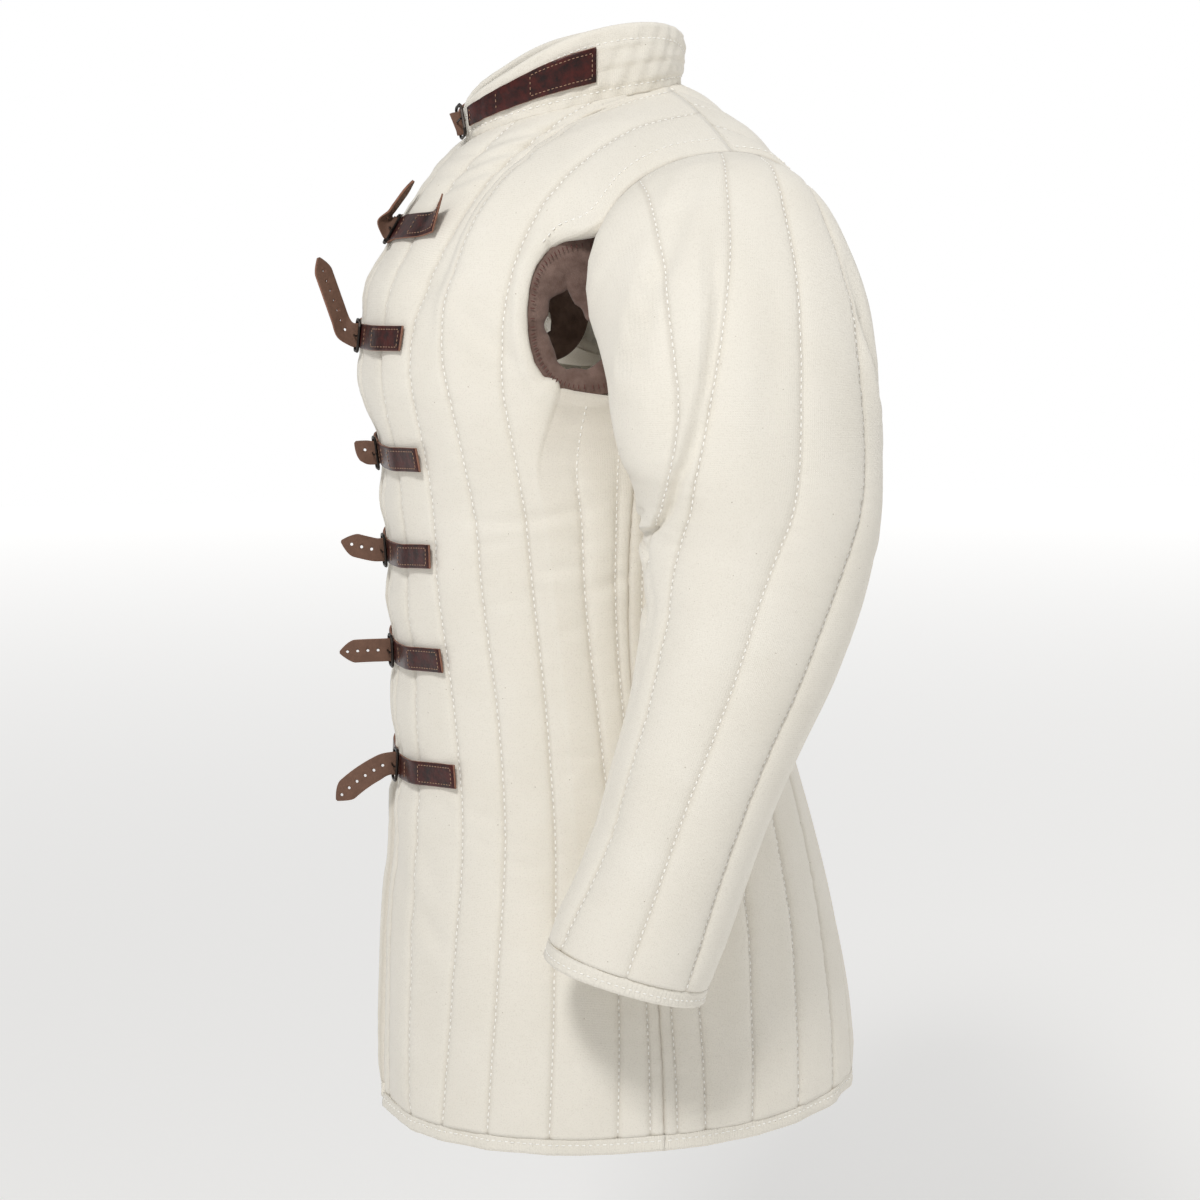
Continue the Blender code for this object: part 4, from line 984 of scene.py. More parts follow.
def front_surface(right):
    panel = front_panel(sizes().wall, right)

    def breaks(u, v):
        low = low_weight(v)
        return (low, LOW_MARKS), (1 - low, HIGH_MARKS)

    surface = Surface(panel.read, PANEL_TOP, breaks, 41 if right else 11, panel_flat)
    surface.fade = panel_fade
    surface.split = ARMPIT_ROW
    surface.extra = front_relief((0.009, -0.011), 0.8) if right else front_relief((0.0, 0.0), 1.0)
    surface.panel = panel
    return surface


def back_surface():
    panel = back_panel(sizes().wall)

    def read(u, v, inside=False):
        points = panel.read(abs(u), v, inside)
        return np.where((u < 0)[:, None], points * (-1, 1, 1), points)

    def breaks(u, v):
        low = low_weight(v)
        full = [-m for m in BACK_LOW_MARKS[:0:-1]] + list(BACK_LOW_MARKS)
        high = [-m for m in BACK_HIGH_MARKS[:0:-1]] + list(BACK_HIGH_MARKS)
        return (low, full), (1 - low, high)

    surface = Surface(read, PANEL_TOP, breaks, 23, panel_flat, -1.0)
    surface.fade = panel_fade
    surface.split = ARMPIT_ROW
    surface.extra = lambda u, v, p: sum(crease(p[:, (0, 2)], line, width, depth)
                                        for width, depth, line in BACK_CREASES)
    return surface


def sleeve_turn(u, v):
    """Turn round the sleeve at a place counted in channels; the stitched lines wander down the arm."""
    whole = np.floor(u / len(SLEEVE_LINES))
    w = u - whole * len(SLEEVE_LINES)
    lines = [*SLEEVE_LINES, tuple(t + 360 for t in SLEEVE_LINES[0])]
    steps = (-0.8, -0.4, 0.0, 0.4, 0.8)
    turns = np.array([sum(np.interp(v + s, SLEEVE_LINE_RINGS, line) for s in steps) / len(steps) for line in lines])
    i = np.minimum(w.astype(int), len(SLEEVE_LINES) - 1)
    every = np.arange(len(u))
    return turns[i, every] * (1 - (w - i)) + turns[i + 1, every] * (w - i) + 360 * whole


def sleeve_relief(shift, share):
    def relief(u, v, p):
        turn = (sleeve_turn(u, v) + 90) % 360 - 90
        at = np.stack((v * 0.042, np.radians(turn) * 0.085), axis=1) + shift
        total = np.zeros(len(u))
        for width, depth, line in SLEEVE_CREASES:
            points = [(ring * 0.042, math.radians(t) * 0.085) for ring, t in line]
            total += crease(at, points, width, depth * share)
        # The front of the upper arm lies flatter than its round section.
        flatter = np.clip((v - 0.2) / 1.2, 0, 1) * np.clip((6.6 - v) / 1.2, 0, 1)
        front = 30 * np.clip((3.4 - v) / 2.4, 0, 1)
        total -= 0.0115 * np.exp(-(((turn - front) / 44) ** 2)) * flatter
        # The cloth lies close to the forearm below the fold of the elbow.
        close = np.clip((v - 7.3) / 1.0, 0, 1) * np.clip((14.6 - v) / 2.6, 0, 1)
        total -= 0.0125 * np.exp(-((turn / 48) ** 2)) * close
        return total * np.clip((CUFF_RING - v) / 1.0, 0, 1) * np.clip(v / 0.8, 0, 1)

    return relief


def sleeve_surface(right):
    def read(u, v):
        return sleeve_points(v, sleeve_turn(u, v))

    def breaks(u, v):
        return ((np.ones(len(u)), tuple(range(len(SLEEVE_LINES) + 1))),)

    surface = Surface(read, CUFF_RING, breaks, 67 if right else 31, lambda u, v: (u * 0.058, v * 0.042), -1.0)
    surface.fade = lambda u, v: np.clip(v / 1.2, 0, 1) ** 0.7 * np.clip((CUFF_RING + 0.1 - v) / 0.8, 0, 1) ** 0.6
    surface.extra = sleeve_relief((0.006, -0.008), 0.85) if right else sleeve_relief((0.0, 0.0), 1.0)
    surface.ring = len(SLEEVE_LINES)
    return surface


def run(surface, u, v, steps=500):
    """Points and ways out on a skin, along places given as two ends or as functions of a share from 0 to 1."""
    share = np.linspace(0, 1, steps)
    places = [p(share) if callable(p) else p[0] + (p[1] - p[0]) * share for p in (u, v)]
    points, normals, _ = surface.outer(*places)
    return points, normals


def build_fronts():
    cloth = [finish_of("napped_canvas")] * 3
    for side, right in (("left", False), ("right", True)):
        surface = front_surface(right)
        inside = lambda u, v: surface.panel.read(u, v, inside=True)
        place = walled(surface, inside, (0.0012, 0, 0, 0), (0.0, 99.0, -9.0, 99.0))
        bm = shell(FRONT_COLUMNS, PANEL_ROWS, place, keep=lambda u, v: ~((u > 14.001) & (v > ARMPIT_ROW + 0.001)),
                   flat=panel_flat)
        ob = place_in_scene(f"quilted_front_{side}", bm, cloth, [f"front_{side}"], mirror=right)
        runs = [run(surface, (u, u), (0.06, PANEL_TOP - 0.1), 900) for u in (0.6, 3, 6, 9, 12)]
        runs += [run(surface, (u, u), (0.06, ARMPIT_ROW - 0.15), 600) for u in (16, 17.4)]
        runs.append(run(surface, (13.55, 13.4), (ARMPIT_ROW + 5.2, PANEL_TOP - 0.1)))
        sewn = stitches(f"stitching_front_{side}", runs, finish_of("cotton_thread"), seed=3, mirror=right)


def build_back():
    surface = back_surface()
    columns = np.concatenate((-BACK_COLUMNS[:0:-1], BACK_COLUMNS))
    place = walled(surface, lambda u, v: surface.read(u, v, inside=True))
    bm = shell(columns, PANEL_ROWS, place, keep=lambda u, v: ~((abs(u) > 11.001) & (v > ARMPIT_ROW + 0.001)),
               flat=panel_flat)
    ob = place_in_scene("quilted_back", bm, [finish_of("napped_canvas")] * 3, ["back"])
    runs = [run(surface, (0, 0), (0.06, PANEL_TOP - 0.1), 900)]
    for s in (-1, 1):
        runs += [run(surface, (s * u, s * u), (0.06, PANEL_TOP - 0.1), 900) for u in (3, 6, 9)]
        runs += [run(surface, (s * u, s * u), (0.06, ARMPIT_ROW - 0.1), 600) for u in (11, 13, 14.4)]
        runs.append(run(surface, (s * 10.62, s * 10.62), (ARMPIT_ROW + 0.8, PANEL_TOP - 0.1)))
    sewn = stitches("stitching_back", runs, finish_of("cotton_thread"), seed=5)


def build_sleeves():
    for side, right in (("left", False), ("right", True)):
        surface = sleeve_surface(right)

        def inside(u, v):
            sunk = np.maximum(-surface.extra(u, v, None), 0.0)
            return sleeve_points(v, sleeve_turn(u, v), sizes().wall + sunk)

        count = len(SLEEVE_LINES)
        us = spaced(range(count + 1), [12] * count)
        bm = shell(us, np.linspace(0, CUFF_RING, CUFF_RING * 13 + 1), walled(surface, inside), closed=True,
                   flat=surface.flat)
        ob = place_in_scene(f"quilted_sleeve_{side}", bm, [finish_of("napped_canvas")] * 3, [f"sleeve_{side}"],
                            mirror=right)
        runs = [run(surface, (u, u), (0.12, CUFF_RING - 0.05), 800) for u in range(count)]
        sewn = stitches(f"stitching_sleeve_{side}", runs, finish_of("cotton_thread"), seed=7, mirror=right)


def neck_points(t):
    s, c = rounded(180 * t, 2.15)
    rise = np.maximum((1 - c) / 2, 0.0) ** 0.6
    return np.stack((NECK_HALF * s, NECK_MIDDLE - NECK_DEPTH * c, NECK_DROP * (rise - 1)), axis=1)


def collar_height(t):
    return np.array([float(smooth_table((0, 0.25, 0.5, 0.8, 1.0), COLLAR_HEIGHTS, min(x, 2 - x))) for x in t])


def collar_surface():
    def read(u, v):
        base = neck_points(np.minimum(u, 2 - u))
        out = base * (1, 1, 0) - (0, NECK_MIDDLE, 0)
        points = base + unit(out) * (0.003 * v)[:, None]
        points[:, 2] += 0.0005 + collar_height(u) * v
        points[u > 1, 0] *= -1
        return points

    def relief(u, v, p):
        height = collar_height(u)
        puff = 0.0019 * np.sin(math.pi * np.clip(v, 0, 1)) ** 0.7
        from_top, from_base = height * (1 - v), height * v
        for off in (from_top - 0.010, from_base - 0.005):
            puff -= 0.0009 * np.exp(-((off / 0.0016) ** 2))
        for at, sunk in ((0.70, 0.0007), (0.42, 0.0009)):
            # These two folds wander a little and show at the side and back alone.
            off = (v - at - 0.03 * np.sin(u * 9)) * height
            puff -= sunk * np.exp(-((off / 0.0022) ** 2)) * np.clip(u - 0.45, 0, 0.1) * 10
        return puff + 0.0006 * ripple(np.stack((u * 0.16, v * 0.03), axis=1), 0.011, 9)

    surface = Surface(read, 1, lambda u, v: (), 51, lambda u, v: (u * 0.26, v * 0.05))
    surface.extra = relief
    return surface


def inward_of(surface, depth):
    def inside(u, v):
        across, along = surface.slopes(u, v)
        return surface.read(u, v) - unit(np.cross(across, along)) * (surface.outward * depth)

    return inside


def build_collar():
    surface = collar_surface()
    place = walled(surface, inward_of(surface, COLLAR_WALL), (0.0012, 0.0012, 0, 0.0024), (0.02, 1.98, -9, 1.0))
    bm = shell(np.linspace(0.02, 1.98, 201), np.linspace(-0.05, 1, 29), place, edge_cuts=3, flat=surface.flat)
    ob = place_in_scene("stand_collar", bm, [finish_of("napped_canvas")] * 3, ["collar"])
    ends = lambda share: 0.035 + 1.93 * share
    runs = [run(surface, ends, lambda share: 1 - 0.010 / collar_height(ends(share)), 300),
            run(surface, ends, lambda share: 0.005 / collar_height(ends(share)), 300)]
    sewn = stitches("stitching_collar", runs, finish_of("cotton_thread"), seed=11)


def band_surface(read_low, outward, seed):
    """Skin of a hem band below a panel; row 0 is its lower edge and row 1 its seam."""

    def read(u, v):
        points = read_low(u, np.zeros(len(u)))
        points[:, 2] -= BAND + (0.0002 - BAND) * v
        return points

    surface = Surface(read, 1, lambda u, v: (), seed, lambda u, v: (u * 0.0235, v * BAND), outward)
    surface.extra = lambda u, v, p: (0.0012 + 0.0004 * np.sin(math.pi * v)
                                     - 0.0007 * np.exp(-(((v - 0.62) * BAND / 0.0014) ** 2))
                                     + 0.00035 * ripple(np.stack((u * 0.0235, v * 0.004), axis=1), 0.009, seed))
    return surface


def build_bands():
    cloth = [finish_of("folded_canvas")] * 3
    back = back_surface()
    all_back = np.concatenate((-BACK_COLUMNS[:0:-1], BACK_COLUMNS))
    jobs = [("front_left", front_surface(False).panel.read, 1.0, FRONT_COLUMNS, False),
            ("front_right", front_surface(True).panel.read, 1.0, FRONT_COLUMNS, True),
            ("back", back.read, -1.0, all_back, False)]
    for k, (name, read_low, outward, columns, mirror) in enumerate(jobs):
        surface = band_surface(read_low, outward, 71 + k)
        place = walled(surface, inward_of(surface, sizes().wall - 0.001), (0, 0, 0.0022, 0), (-99, 99, 0.0, 9))
        bm = shell(columns, np.linspace(0, 1, 9), place, edge_cuts=3, flat=surface.flat)
        ob = place_in_scene(f"hem_band_{name}", bm, cloth, [f"{name}_hem"], mirror=mirror)
        runs = [run(surface, (columns[0] + 0.1, columns[-1] - 0.1), (0.62, 0.62), 400)]
        sewn = stitches(f"stitching_hem_{name}", runs, finish_of("cotton_thread"), seed=13 + k,
                        mirror=mirror)
    for side, right in (("left", False), ("right", True)):
        surface = Surface(lambda u, v: sleeve_points(v, sleeve_turn(u, v)), CUFF_RING + 1, lambda u, v: (), 83,
                          lambda u, v: (u * 0.04, v * 0.014), -1.0)
        surface.extra = lambda u, v, p: (0.0012 - 0.0007 * np.exp(-(((v - CUFF_RING - 0.45) / 0.12) ** 2))
                                         + 0.00035 * np.cos(u * 2 * math.pi * 5) * np.cos(v * 9))
        inside = lambda u, v: sleeve_points(v, sleeve_turn(u, v), sizes().wall)
        count = len(SLEEVE_LINES)
        place = walled(surface, inside, (0, 0, 0, 0.0022), (-99, 99, -9, CUFF_RING + 1.0))
        bm = shell(np.linspace(0, count, count * 10 + 1), np.linspace(CUFF_RING + 0.01, CUFF_RING + 1, 9), place,
                   closed=True, edge_cuts=3, flat=surface.flat)
        ob = place_in_scene(f"cuff_band_{side}", bm, cloth, [f"cuff_{side}"], mirror=right)
        runs = [run(surface, (0, count), (CUFF_RING + 0.45, CUFF_RING + 0.45), 400)]
        sewn = stitches(f"stitching_cuff_{side}", runs, finish_of("cotton_thread"), seed=17, mirror=right)


def build_gussets():
    centre = VENT.mean(0)
    vent = VENT - centre
    turns = np.arctan2(vent[:, 1], -vent[:, 0])
    order = np.argsort(turns)
    for side, right in (("left", False), ("right", True)):

        def place(u, v, depth):
            rim = np.array([gusset_point(t, 1.04) for t in u]) - (0.0022, 0, 0)
            angle = np.arctan2(rim[:, 2] - centre[1], -(rim[:, 1] - centre[0]))
            hole = [np.interp(angle, turns[order], vent[order, k] + centre[k], period=2 * math.pi) for k in (0, 1)]
            ragged = 0.0011 * ripple(np.stack((np.cos(angle), np.sin(angle)), axis=1) * 0.02, 0.016, 3)
            edge = np.stack((rim[:, 0] - 0.002, *hole), axis=1)
            edge[:, 1] -= np.cos(angle) * ragged
            edge[:, 2] += np.sin(angle) * ragged
            points = rim * (1 - v)[:, None] + edge * v[:, None]
            points[:, 0] += 0.002 * np.sin(math.pi * v) - 0.0020 * depth
            points[:, 0] += 0.0005 * ripple(points[:, 1:], 0.022, 19) * np.sin(math.pi * v) - 0.0008 * v ** 6
            return points, np.zeros(len(u))

        bm = shell(np.linspace(-180, 180, 145), np.linspace(0, 1, 17), place, closed=True,
                   flat=lambda u, v: (u * 0.0009, v * 0.03))
        ob = place_in_scene(f"suede_oval_{side}", bm, [finish_of("brushed_suede")] * 3, [f"gusset_{side}"],
                            mirror=right)
        runs = []
        for turn in np.arange(-180, 180, 4.6):
            start, end = gusset_point(turn, 0.875), gusset_point(turn, 0.965)
            line = np.array((start, end)) + (0.0014, 0, 0)
            runs.append((line, np.array(((1, 0, 0), (1, 0, 0)))))
        sewn = stitches(f"stitching_oval_{side}", runs, finish_of("red_brown_thread"),
                        (0.0046, 0.0011, 0.0009), 0.0036, 19, right)


def seat(surface, u, z):
    """Where leather rests on a front's padding at column u and height z, bridging the stitched lines."""
    rows = np.linspace(0, surface.top, 331)
    heights = surface.read(np.full(len(rows), u), rows)[:, 2]
    at = np.array([u]), np.array([np.interp(z, heights, rows)])
    across, along = surface.slopes(*at)
    lift = np.interp(u, (0.0, 0.8, 1.8, 20.0), (0.0, 0.0026, 0.0050, 0.0050))
    return (surface.read(*at) + unit(np.cross(across, along)) * surface.outward * lift)[0]


def seat_rows(at, places, heights, width, lift):
    """Centre, half width as a vector and way out of a strip laid on a surface."""
    middle = np.array([at(p, h) for p, h in zip(places, heights)])
    low = np.array([at(p, h - width) for p, h in zip(places, heights)])
    high = np.array([at(p, h + width) for p, h in zip(places, heights)])
    out = unit(np.cross(np.gradient(middle, axis=0), high - low))
    return middle + out * lift, (high - low) / 2, out


def strip(name, centre, across, out, thick, node, mirror=False, tapered=False):
    """Leather strip with its grain side out; the cut edges and the flesh side have their own finish."""
    steps = np.concatenate(([0.0], np.cumsum(np.linalg.norm(np.diff(centre, axis=0), axis=1))))
    narrow = np.ones(len(centre))
    if tapered:
        left = np.clip((steps[-1] - steps) / 0.013, 0, 1)
        narrow = 0.10 + 0.90 * (1 - (1 - left) ** 1.6)

    def place(u, v, depth):
        i = np.rint(u).astype(int)
        worn = np.clip((abs(v) - 0.84) / 0.16, 0, 1) ** 2
        rim = (depth > 0) & (depth < 1) & (abs(v) > 0.99)
        level = thick * (1 - depth) + worn * np.where(depth < 0.01, -0.00035, np.where(depth > 0.99, 0.0002, 0.0))
        reach = v * narrow[i] * np.where(rim, 1.03, 1.0)
        return centre[i] + across[i] * reach[:, None] + out[i] * level[:, None], np.zeros(len(u))

    bm = shell(np.arange(len(centre), dtype=float), STRAP_ACROSS, place,
               flat=lambda u, v: (np.interp(u, range(len(steps)), steps), v * sizes().strap_width / 2))
    finishes = [finish_of(n) for n in ("oxblood_strap_leather", "cut_leather_edge", "leather_flesh_side")]
    return place_in_scene(name, bm, finishes, [node], mirror=mirror)


def tab_stitches(name, centre, across, out):
    """Box stitch at the rear end of a tab, with lines across it further forward."""
    steps = np.concatenate(([0.0], np.cumsum(np.linalg.norm(np.diff(centre, axis=0), axis=1))))
    total = steps[-1]
    top = centre + out * (sizes().leather + 0.0001)

    def at(distance, side):
        read = lambda rows: np.stack([np.interp(distance, steps, rows[:, k]) for k in range(3)], axis=-1)
        return read(top) + read(across) * np.asarray(side)[..., None], read(out)

    runs = []
    for side in (-0.72, 0.72):
        distance = np.linspace(total * 0.56, total - 0.0035, 60)
        runs.append(at(distance, np.full(60, side)))
    for distance in (0.0040, total * 0.30, total * 0.56, total - 0.0035):
        runs.append(at(np.full(12, distance), np.linspace(-0.72, 0.72, 12)))
    return stitches(name, runs, finish_of("waxed_thread"), (0.0026, 0.0008, 0.0006), 0.0034, 23)


def build_closure(name, at, places, heights, at_right, right_places, right_heights, width, end):
    pitch, yaw, length, droop, twist = end
    edge, edge_up, _ = seat_rows(at, (0.0, 0.8), (heights[0], heights[0]), width, 0.0)
    along = unit(edge[1] - edge[0])
    up = unit(edge_up[0] - along * np.dot(edge_up[0], along))
    origin, out = edge[0], np.cross(along, up)
    centre, across, ways = seat_rows(at, places, heights, width, 0.0010)
    if name == "1":
        # The rear corner of this tab has curled off the cloth.
        curl = np.clip((places - 3.8) / 1.4, 0, 1) ** 2
        centre = centre + ways * (0.009 * curl)[:, None] + unit(across) * (0.004 * curl)[:, None]
        across = across * (1 + 0.25 * curl)[:, None] + ways * (0.006 * curl)[:, None]
    strip(f"leather_tab_{name}", centre, across, ways, sizes().leather, f"tab_{name}")
    tab_stitches(f"stitching_tab_{name}", centre, across, ways)
    flip = np.array((-1.0, 1.0, 1.0))
    base, base_up, base_out = seat_rows(at_right, right_places, right_heights, width, 0.0010)
    rows = [(p * flip, a * flip, o * flip) for p, a, o in zip(base[::-1], base_up[::-1], base_out[::-1])]
    for back, rise, lean in THROUGH_BUCKLE:
        face = out * math.cos(lean) - along * math.sin(lean)
        rows.append((origin + along * back + out * rise, up * sizes().strap_width / 2, face))
    point, steps = rows[-1][0], 8
    for i in range(1, steps + 1):
        share = min(1.0, i / 2)
        tilt = math.radians(pitch * share + droop * i / steps)
        swing = math.radians(yaw) * share
        ahead = out * math.cos(swing) - along * math.sin(swing)
        face = -along * math.cos(swing) - out * math.sin(swing)
        point = point + (ahead * math.cos(tilt) + up * math.sin(tilt)) * length / steps
        flat_across = up * math.cos(tilt) - ahead * math.sin(tilt)
        turn = math.radians(twist) * share
        across_now = flat_across * math.cos(turn) + face * math.sin(turn)
        face = face * math.cos(turn) - flat_across * math.sin(turn)
        rows.append((point, across_now * sizes().strap_width / 2, face))
    table = np.array([np.concatenate(row) for row in rows])
    fine = read_line(table, np.linspace(0, len(table) - 1, (len(table) - 1) * 5 + 1))
    strap = strip(f"leather_strap_{name}", fine[:, :3], fine[:, 3:6], unit(fine[:, 6:]), sizes().leather,
                  f"strap_{name}", tapered=name != "collar")
    free = fine[-steps * 5 :]
    reach = np.concatenate(([0.0], np.cumsum(np.linalg.norm(np.diff(free[:, :3], axis=0), axis=1))))
    spots = np.arange(0.006, reach[-1] - 0.006, 0.0085)
    if len(spots):
        punch(strap, [[np.interp(d, reach, free[:, k]) for k in range(9)] for d in spots])
    for node in (f"buckle_{name}", f"prong_{name}"):
        dress_node(node, finish_of("burnished_iron"))
    return strap


def punch(strap, rows):
    """Punches round holes through a strap at rows of centre, way across and way out."""
    bm = bmesh.new()
    for row in rows:
        turn = Vector(row[6:]).to_track_quat("Z", "Y").to_matrix().to_4x4()
        bmesh.ops.create_cone(bm, cap_ends=True, segments=12, radius1=0.00125, radius2=0.00125, depth=0.012,
                              matrix=Matrix.Translation(row[:3]) @ turn)
    for face in bm.faces:
        face.material_index = 1
    mesh = bpy.data.meshes.new("punch")
    bm.to_mesh(mesh)
    bm.free()
    for material in strap.data.materials:
        mesh.materials.append(material)
    cutter = bpy.data.objects.new("punch", mesh)
    bpy.context.scene.collection.objects.link(cutter)
    holes = strap.modifiers.new("holes", "BOOLEAN")
    holes.object = cutter
    holes.solver = "EXACT"
    bpy.context.view_layer.update()
    made = bpy.data.meshes.new_from_object(strap.evaluated_get(bpy.context.evaluated_depsgraph_get()))
    strap.modifiers.clear()
    strap.data = made
    bpy.data.objects.remove(cutter)


def dress_node(name, material):
    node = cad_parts[name]
    ob = node if isinstance(node, bpy.types.Object) else bpy.data.objects[name]
    ob.data.materials.clear()
    ob.data.materials.append(material)


def build_closures():
    left, right = front_surface(False), front_surface(True)
    right_places = np.linspace(0, 6, 13)
    for name, height, rise, reach, *end in STRAPS:
        places = np.linspace(0.55, reach, 34)
        build_closure(name, lambda u, z: seat(left, u, z), places, height + rise * places / 6,
                      lambda u, z: seat(right, u, z), right_places, np.full(13, height), sizes().strap_width / 2, end)
    collar = collar_surface()

    def on_collar(side):
        def at(place, share):
            t = 0.02 + 1.96 * place / 38
            points, _, _ = collar.outer(np.array([t]), np.array([share]))
            return points[0] * (side, 1, 1)

        return at

    places = np.linspace(1.6, 9.7, 34)
    build_closure("collar", on_collar(1), places, np.full(34, 0.52), on_collar(1), np.linspace(0, 8, 13),
                  np.full(13, 0.52), 0.26, (-10, 10, 0.0015, 0, 0))


def build_stage():
    bm = bmesh.new()
    bmesh.ops.create_grid(bm, x_segments=1, y_segments=1, size=9.0)
    bmesh.ops.translate(bm, vec=(0, 0, FLOOR_Z), verts=bm.verts)
    mesh = bpy.data.meshes.new("studio_floor")
    bm.to_mesh(mesh)
    bm.free()
    material, tree, shader = new_material("glowing_matt_paper", Base_Color=colour("floor"), Roughness=0.9)
    # Painted light: the paper glows a little near the middle and more towards its far edge, where it meets the
    # backdrop.
    place = add(tree, "ShaderNodeTexCoord")
    distance = add(tree, "ShaderNodeVectorMath", {"Vector": place.outputs["Object"]}, operation="LENGTH")
    glow = add(tree, "ShaderNodeMapRange", {"Value": distance.outputs["Value"], "From Min": 1.5, "From Max": 9.0,
                                            "To Min": 0.14, "To Max": 0.62})
    tree.links.new(glow.outputs["Result"], shader.inputs["Emission Strength"])
    shader.inputs["Emission Color"].default_value = (1, 1, 1, 1)
    mesh.materials.append(material)
    floor = bpy.data.objects.new("studio_floor", mesh)
    scene = bpy.context.scene
    scene.collection.objects.link(floor)
    world = bpy.data.worlds.new("studio")
    world.use_nodes = True
    # The backdrop shows white, while its light on the cloth is dimmer, as in a large studio.
    tree = world.node_tree
    ray = add(tree, "ShaderNodeLightPath")
    share = add(tree, "ShaderNodeMapRange", {"Value": ray.outputs["Is Camera Ray"], "To Min": 0.43, "To Max": 1.0})
    tree.links.new(share.outputs["Result"], tree.nodes["Background"].inputs["Strength"])
    tree.nodes["Background"].inputs["Color"].default_value = (1, 1, 1, 1)
    scene.world = world
    scene.view_settings.view_transform = "Standard"
    middle = Vector((0.0, 0.0, -0.40))
    for name, azimuth, elevation, far, size, watts in STUDIO_LIGHTS:
        light = bpy.data.lights.new(name, "AREA")
        light.size = size
        light.energy = watts
        ob = bpy.data.objects.new(name, light)
        a, e = math.radians(azimuth), math.radians(elevation)
        ob.location = middle + Vector((math.sin(a) * math.cos(e), -math.cos(a) * math.cos(e), math.sin(e))) * far
        ob.rotation_euler = (middle - ob.location).to_track_quat("-Z", "Y").to_euler()
        scene.collection.objects.link(ob)
    camera = bpy.data.cameras.new("camera")
    camera.lens = CAMERA_LENS
    camera.sensor_width = 36.0
    ob = bpy.data.objects.new("camera", camera)
    ob.location = CAMERA_PLACE
    ob.rotation_euler = Vector(CAMERA_WAY).to_track_quat("-Z", "Y").to_euler()
    scene.collection.objects.link(ob)
    scene.camera = ob


class GambesonSizes(bpy.types.PropertyGroup):
    """Sizes of the padding, the stitches and the leather."""

    wall: bpy.props.FloatProperty(name="Wall", description="Thickness of the padded cloth", default=0.007,
                                  unit="LENGTH", subtype="DISTANCE")
    crown: bpy.props.FloatProperty(name="Crown", description="Height of the padding between two stitched lines",
                                   default=0.0042, unit="LENGTH", subtype="DISTANCE")
    stitch_length: bpy.props.FloatProperty(name="Stitch", description="Length of one stitch", default=0.0037,
                                           unit="LENGTH", subtype="DISTANCE")
    stitch_pitch: bpy.props.FloatProperty(name="Pitch", description="From one stitch to the next", default=0.0056,
                                          unit="LENGTH", subtype="DISTANCE")
    strap_width: bpy.props.FloatProperty(name="Strap", description="Width of the straps and tabs", default=0.019,
                                         unit="LENGTH", subtype="DISTANCE")
    leather: bpy.props.FloatProperty(name="Leather", description="Thickness of the straps and tabs", default=0.0022,
                                     unit="LENGTH", subtype="DISTANCE")


def swatch(name, description, code):
    return bpy.props.FloatVectorProperty(name=name, description=description, subtype="COLOR", size=3, min=0, max=1,
                                         default=linear(code))


class GambesonColours(bpy.types.PropertyGroup):
    """Colours of the cloth, the leather, the thread and the iron."""

    canvas: swatch("Canvas", "Undyed cotton canvas", "F2EDE2")
    canvas_shade: swatch("Canvas, clouded", "Darker clouding of the canvas", "E9E3D6")
    # The seed colour is also mixed in as painted shade down the stitched lines.
    seed: swatch("Seed flecks", "Bits of seed case in the cotton", "8B7A63")
    thread: swatch("Thread", "Cotton topstitching", "FFFDF7")
    waxed: swatch("Waxed thread", "Stitching of the leather tabs", "A8846A")
    red_brown: swatch("Red-brown thread", "Stitching round the suede ovals", "5A2E26")
    suede: swatch("Suede", "Brushed nap of the suede ovals", "806A61")
    suede_dark: swatch("Suede, dark", "Nap that lies the other way", "604B43")
    oxblood: swatch("Oxblood", "Dyed grain side of the straps", "46140F")
    oxblood_dark: swatch("Oxblood, dark", "Darker patches of the dye", "1C0706")
    cut_edge: swatch("Cut edge", "Undyed cut edges of the straps", "AC7A64")
    flesh: swatch("Flesh side", "Undyed back of the straps", "7C5C4B")
    flesh_dark: swatch("Flesh side, dark", "Handled patches of the back", "5A4033")
    iron: swatch("Iron", "Burnished iron of the buckles", "3A3532")
    floor: swatch("Floor", "Pale studio floor", "FAF9F7")


class GAMBESON_OT_fronts(bpy.types.Operator):
    """Quilts the two fronts and their stitched lines"""

    bl_idname = "gambeson.fronts"
    bl_label = "Quilted fronts"

    def execute(self, context):
        build_fronts()
        return {"FINISHED"}


class GAMBESON_OT_back(bpy.types.Operator):
    """Quilts the back and its stitched lines"""

    bl_idname = "gambeson.back"
    bl_label = "Quilted back"

    def execute(self, context):
        build_back()
        return {"FINISHED"}


class GAMBESON_OT_sleeves(bpy.types.Operator):
    """Quilts the two bent sleeves and their stitched lines"""

    bl_idname = "gambeson.sleeves"
    bl_label = "Quilted sleeves"

    def execute(self, context):
        build_sleeves()
        return {"FINISHED"}


class GAMBESON_OT_collar(bpy.types.Operator):
    """Sets the padded stand collar on the neckline"""

    bl_idname = "gambeson.collar"
    bl_label = "Stand collar"

    def execute(self, context):
        build_collar()
        return {"FINISHED"}


class GAMBESON_OT_bands(bpy.types.Operator):
    """Binds the hem and the cuffs with folded bands"""

    bl_idname = "gambeson.bands"
    bl_label = "Hem and cuff bands"

    def execute(self, context):
        build_bands()
        return {"FINISHED"}


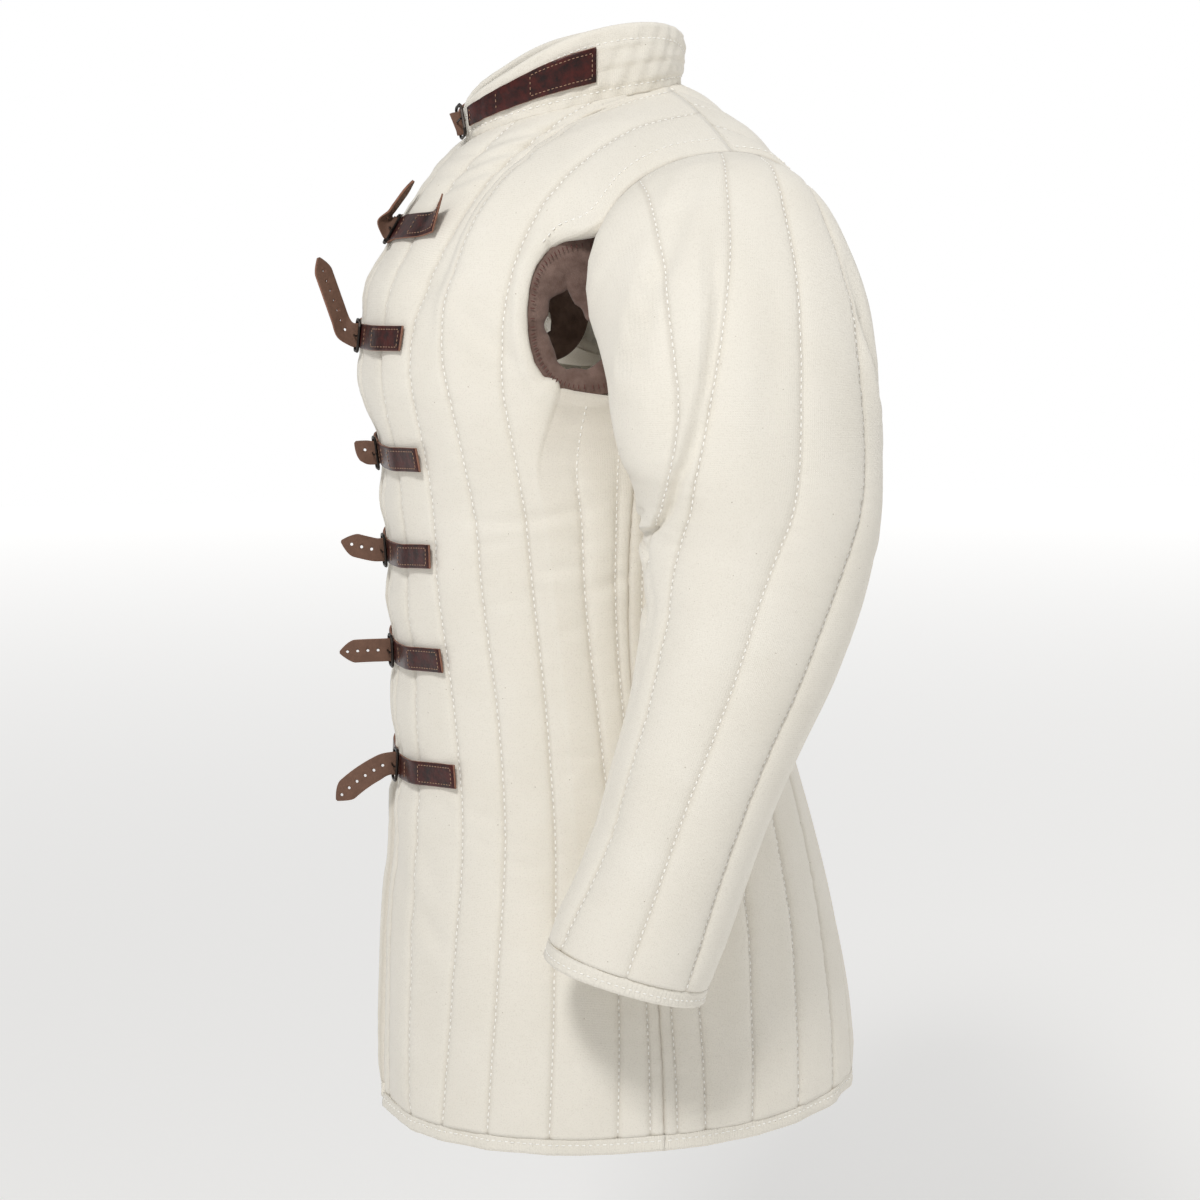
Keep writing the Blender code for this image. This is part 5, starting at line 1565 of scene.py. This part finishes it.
class GAMBESON_OT_ovals(bpy.types.Operator):
    """Sews the suede ovals with their torn openings into the armpits"""

    bl_idname = "gambeson.ovals"
    bl_label = "Suede armpit ovals"

    def execute(self, context):
        build_gussets()
        return {"FINISHED"}


class GAMBESON_OT_closures(bpy.types.Operator):
    """Lays the leather tabs and straps on the front and finishes the buckles"""

    bl_idname = "gambeson.closures"
    bl_label = "Tabs, straps and buckles"

    def execute(self, context):
        build_closures()
        return {"FINISHED"}


class GAMBESON_OT_stage(bpy.types.Operator):
    """Sets up the pale floor, the studio light and the camera"""

    bl_idname = "gambeson.stage"
    bl_label = "Studio and camera"

    def execute(self, context):
        build_stage()
        return {"FINISHED"}


OPERATORS = (GAMBESON_OT_fronts, GAMBESON_OT_back, GAMBESON_OT_sleeves, GAMBESON_OT_collar, GAMBESON_OT_bands,
             GAMBESON_OT_ovals, GAMBESON_OT_closures, GAMBESON_OT_stage)


class GAMBESON_PT_pieces(bpy.types.Panel):
    """Lists the gambeson's pieces, sizes and colours"""

    bl_idname = "GAMBESON_PT_pieces"
    bl_label = "Gambeson"
    bl_space_type = "VIEW_3D"
    bl_region_type = "UI"
    bl_category = "Gambeson"

    def draw(self, context):
        for group in (context.scene.gambeson_sizes, context.scene.gambeson_colours):
            for name in type(group).__annotations__:
                self.layout.prop(group, name)
        for operator in OPERATORS:
            self.layout.operator(operator.bl_idname)


CLASSES = (GambesonSizes, GambesonColours, *OPERATORS, GAMBESON_PT_pieces)


def register():
    for cls in CLASSES:
        bpy.utils.register_class(cls)
    bpy.types.Scene.gambeson_sizes = bpy.props.PointerProperty(type=GambesonSizes)
    bpy.types.Scene.gambeson_colours = bpy.props.PointerProperty(type=GambesonColours)


def unregister():
    del bpy.types.Scene.gambeson_colours
    del bpy.types.Scene.gambeson_sizes
    for cls in reversed(CLASSES):
        bpy.utils.unregister_class(cls)


def main():
    register()
    bpy.ops.gambeson.fronts()
    bpy.ops.gambeson.back()
    bpy.ops.gambeson.sleeves()
    bpy.ops.gambeson.collar()
    bpy.ops.gambeson.bands()
    bpy.ops.gambeson.ovals()
    bpy.ops.gambeson.closures()
    bpy.ops.gambeson.stage()


if __name__ == "__main__":
    main()
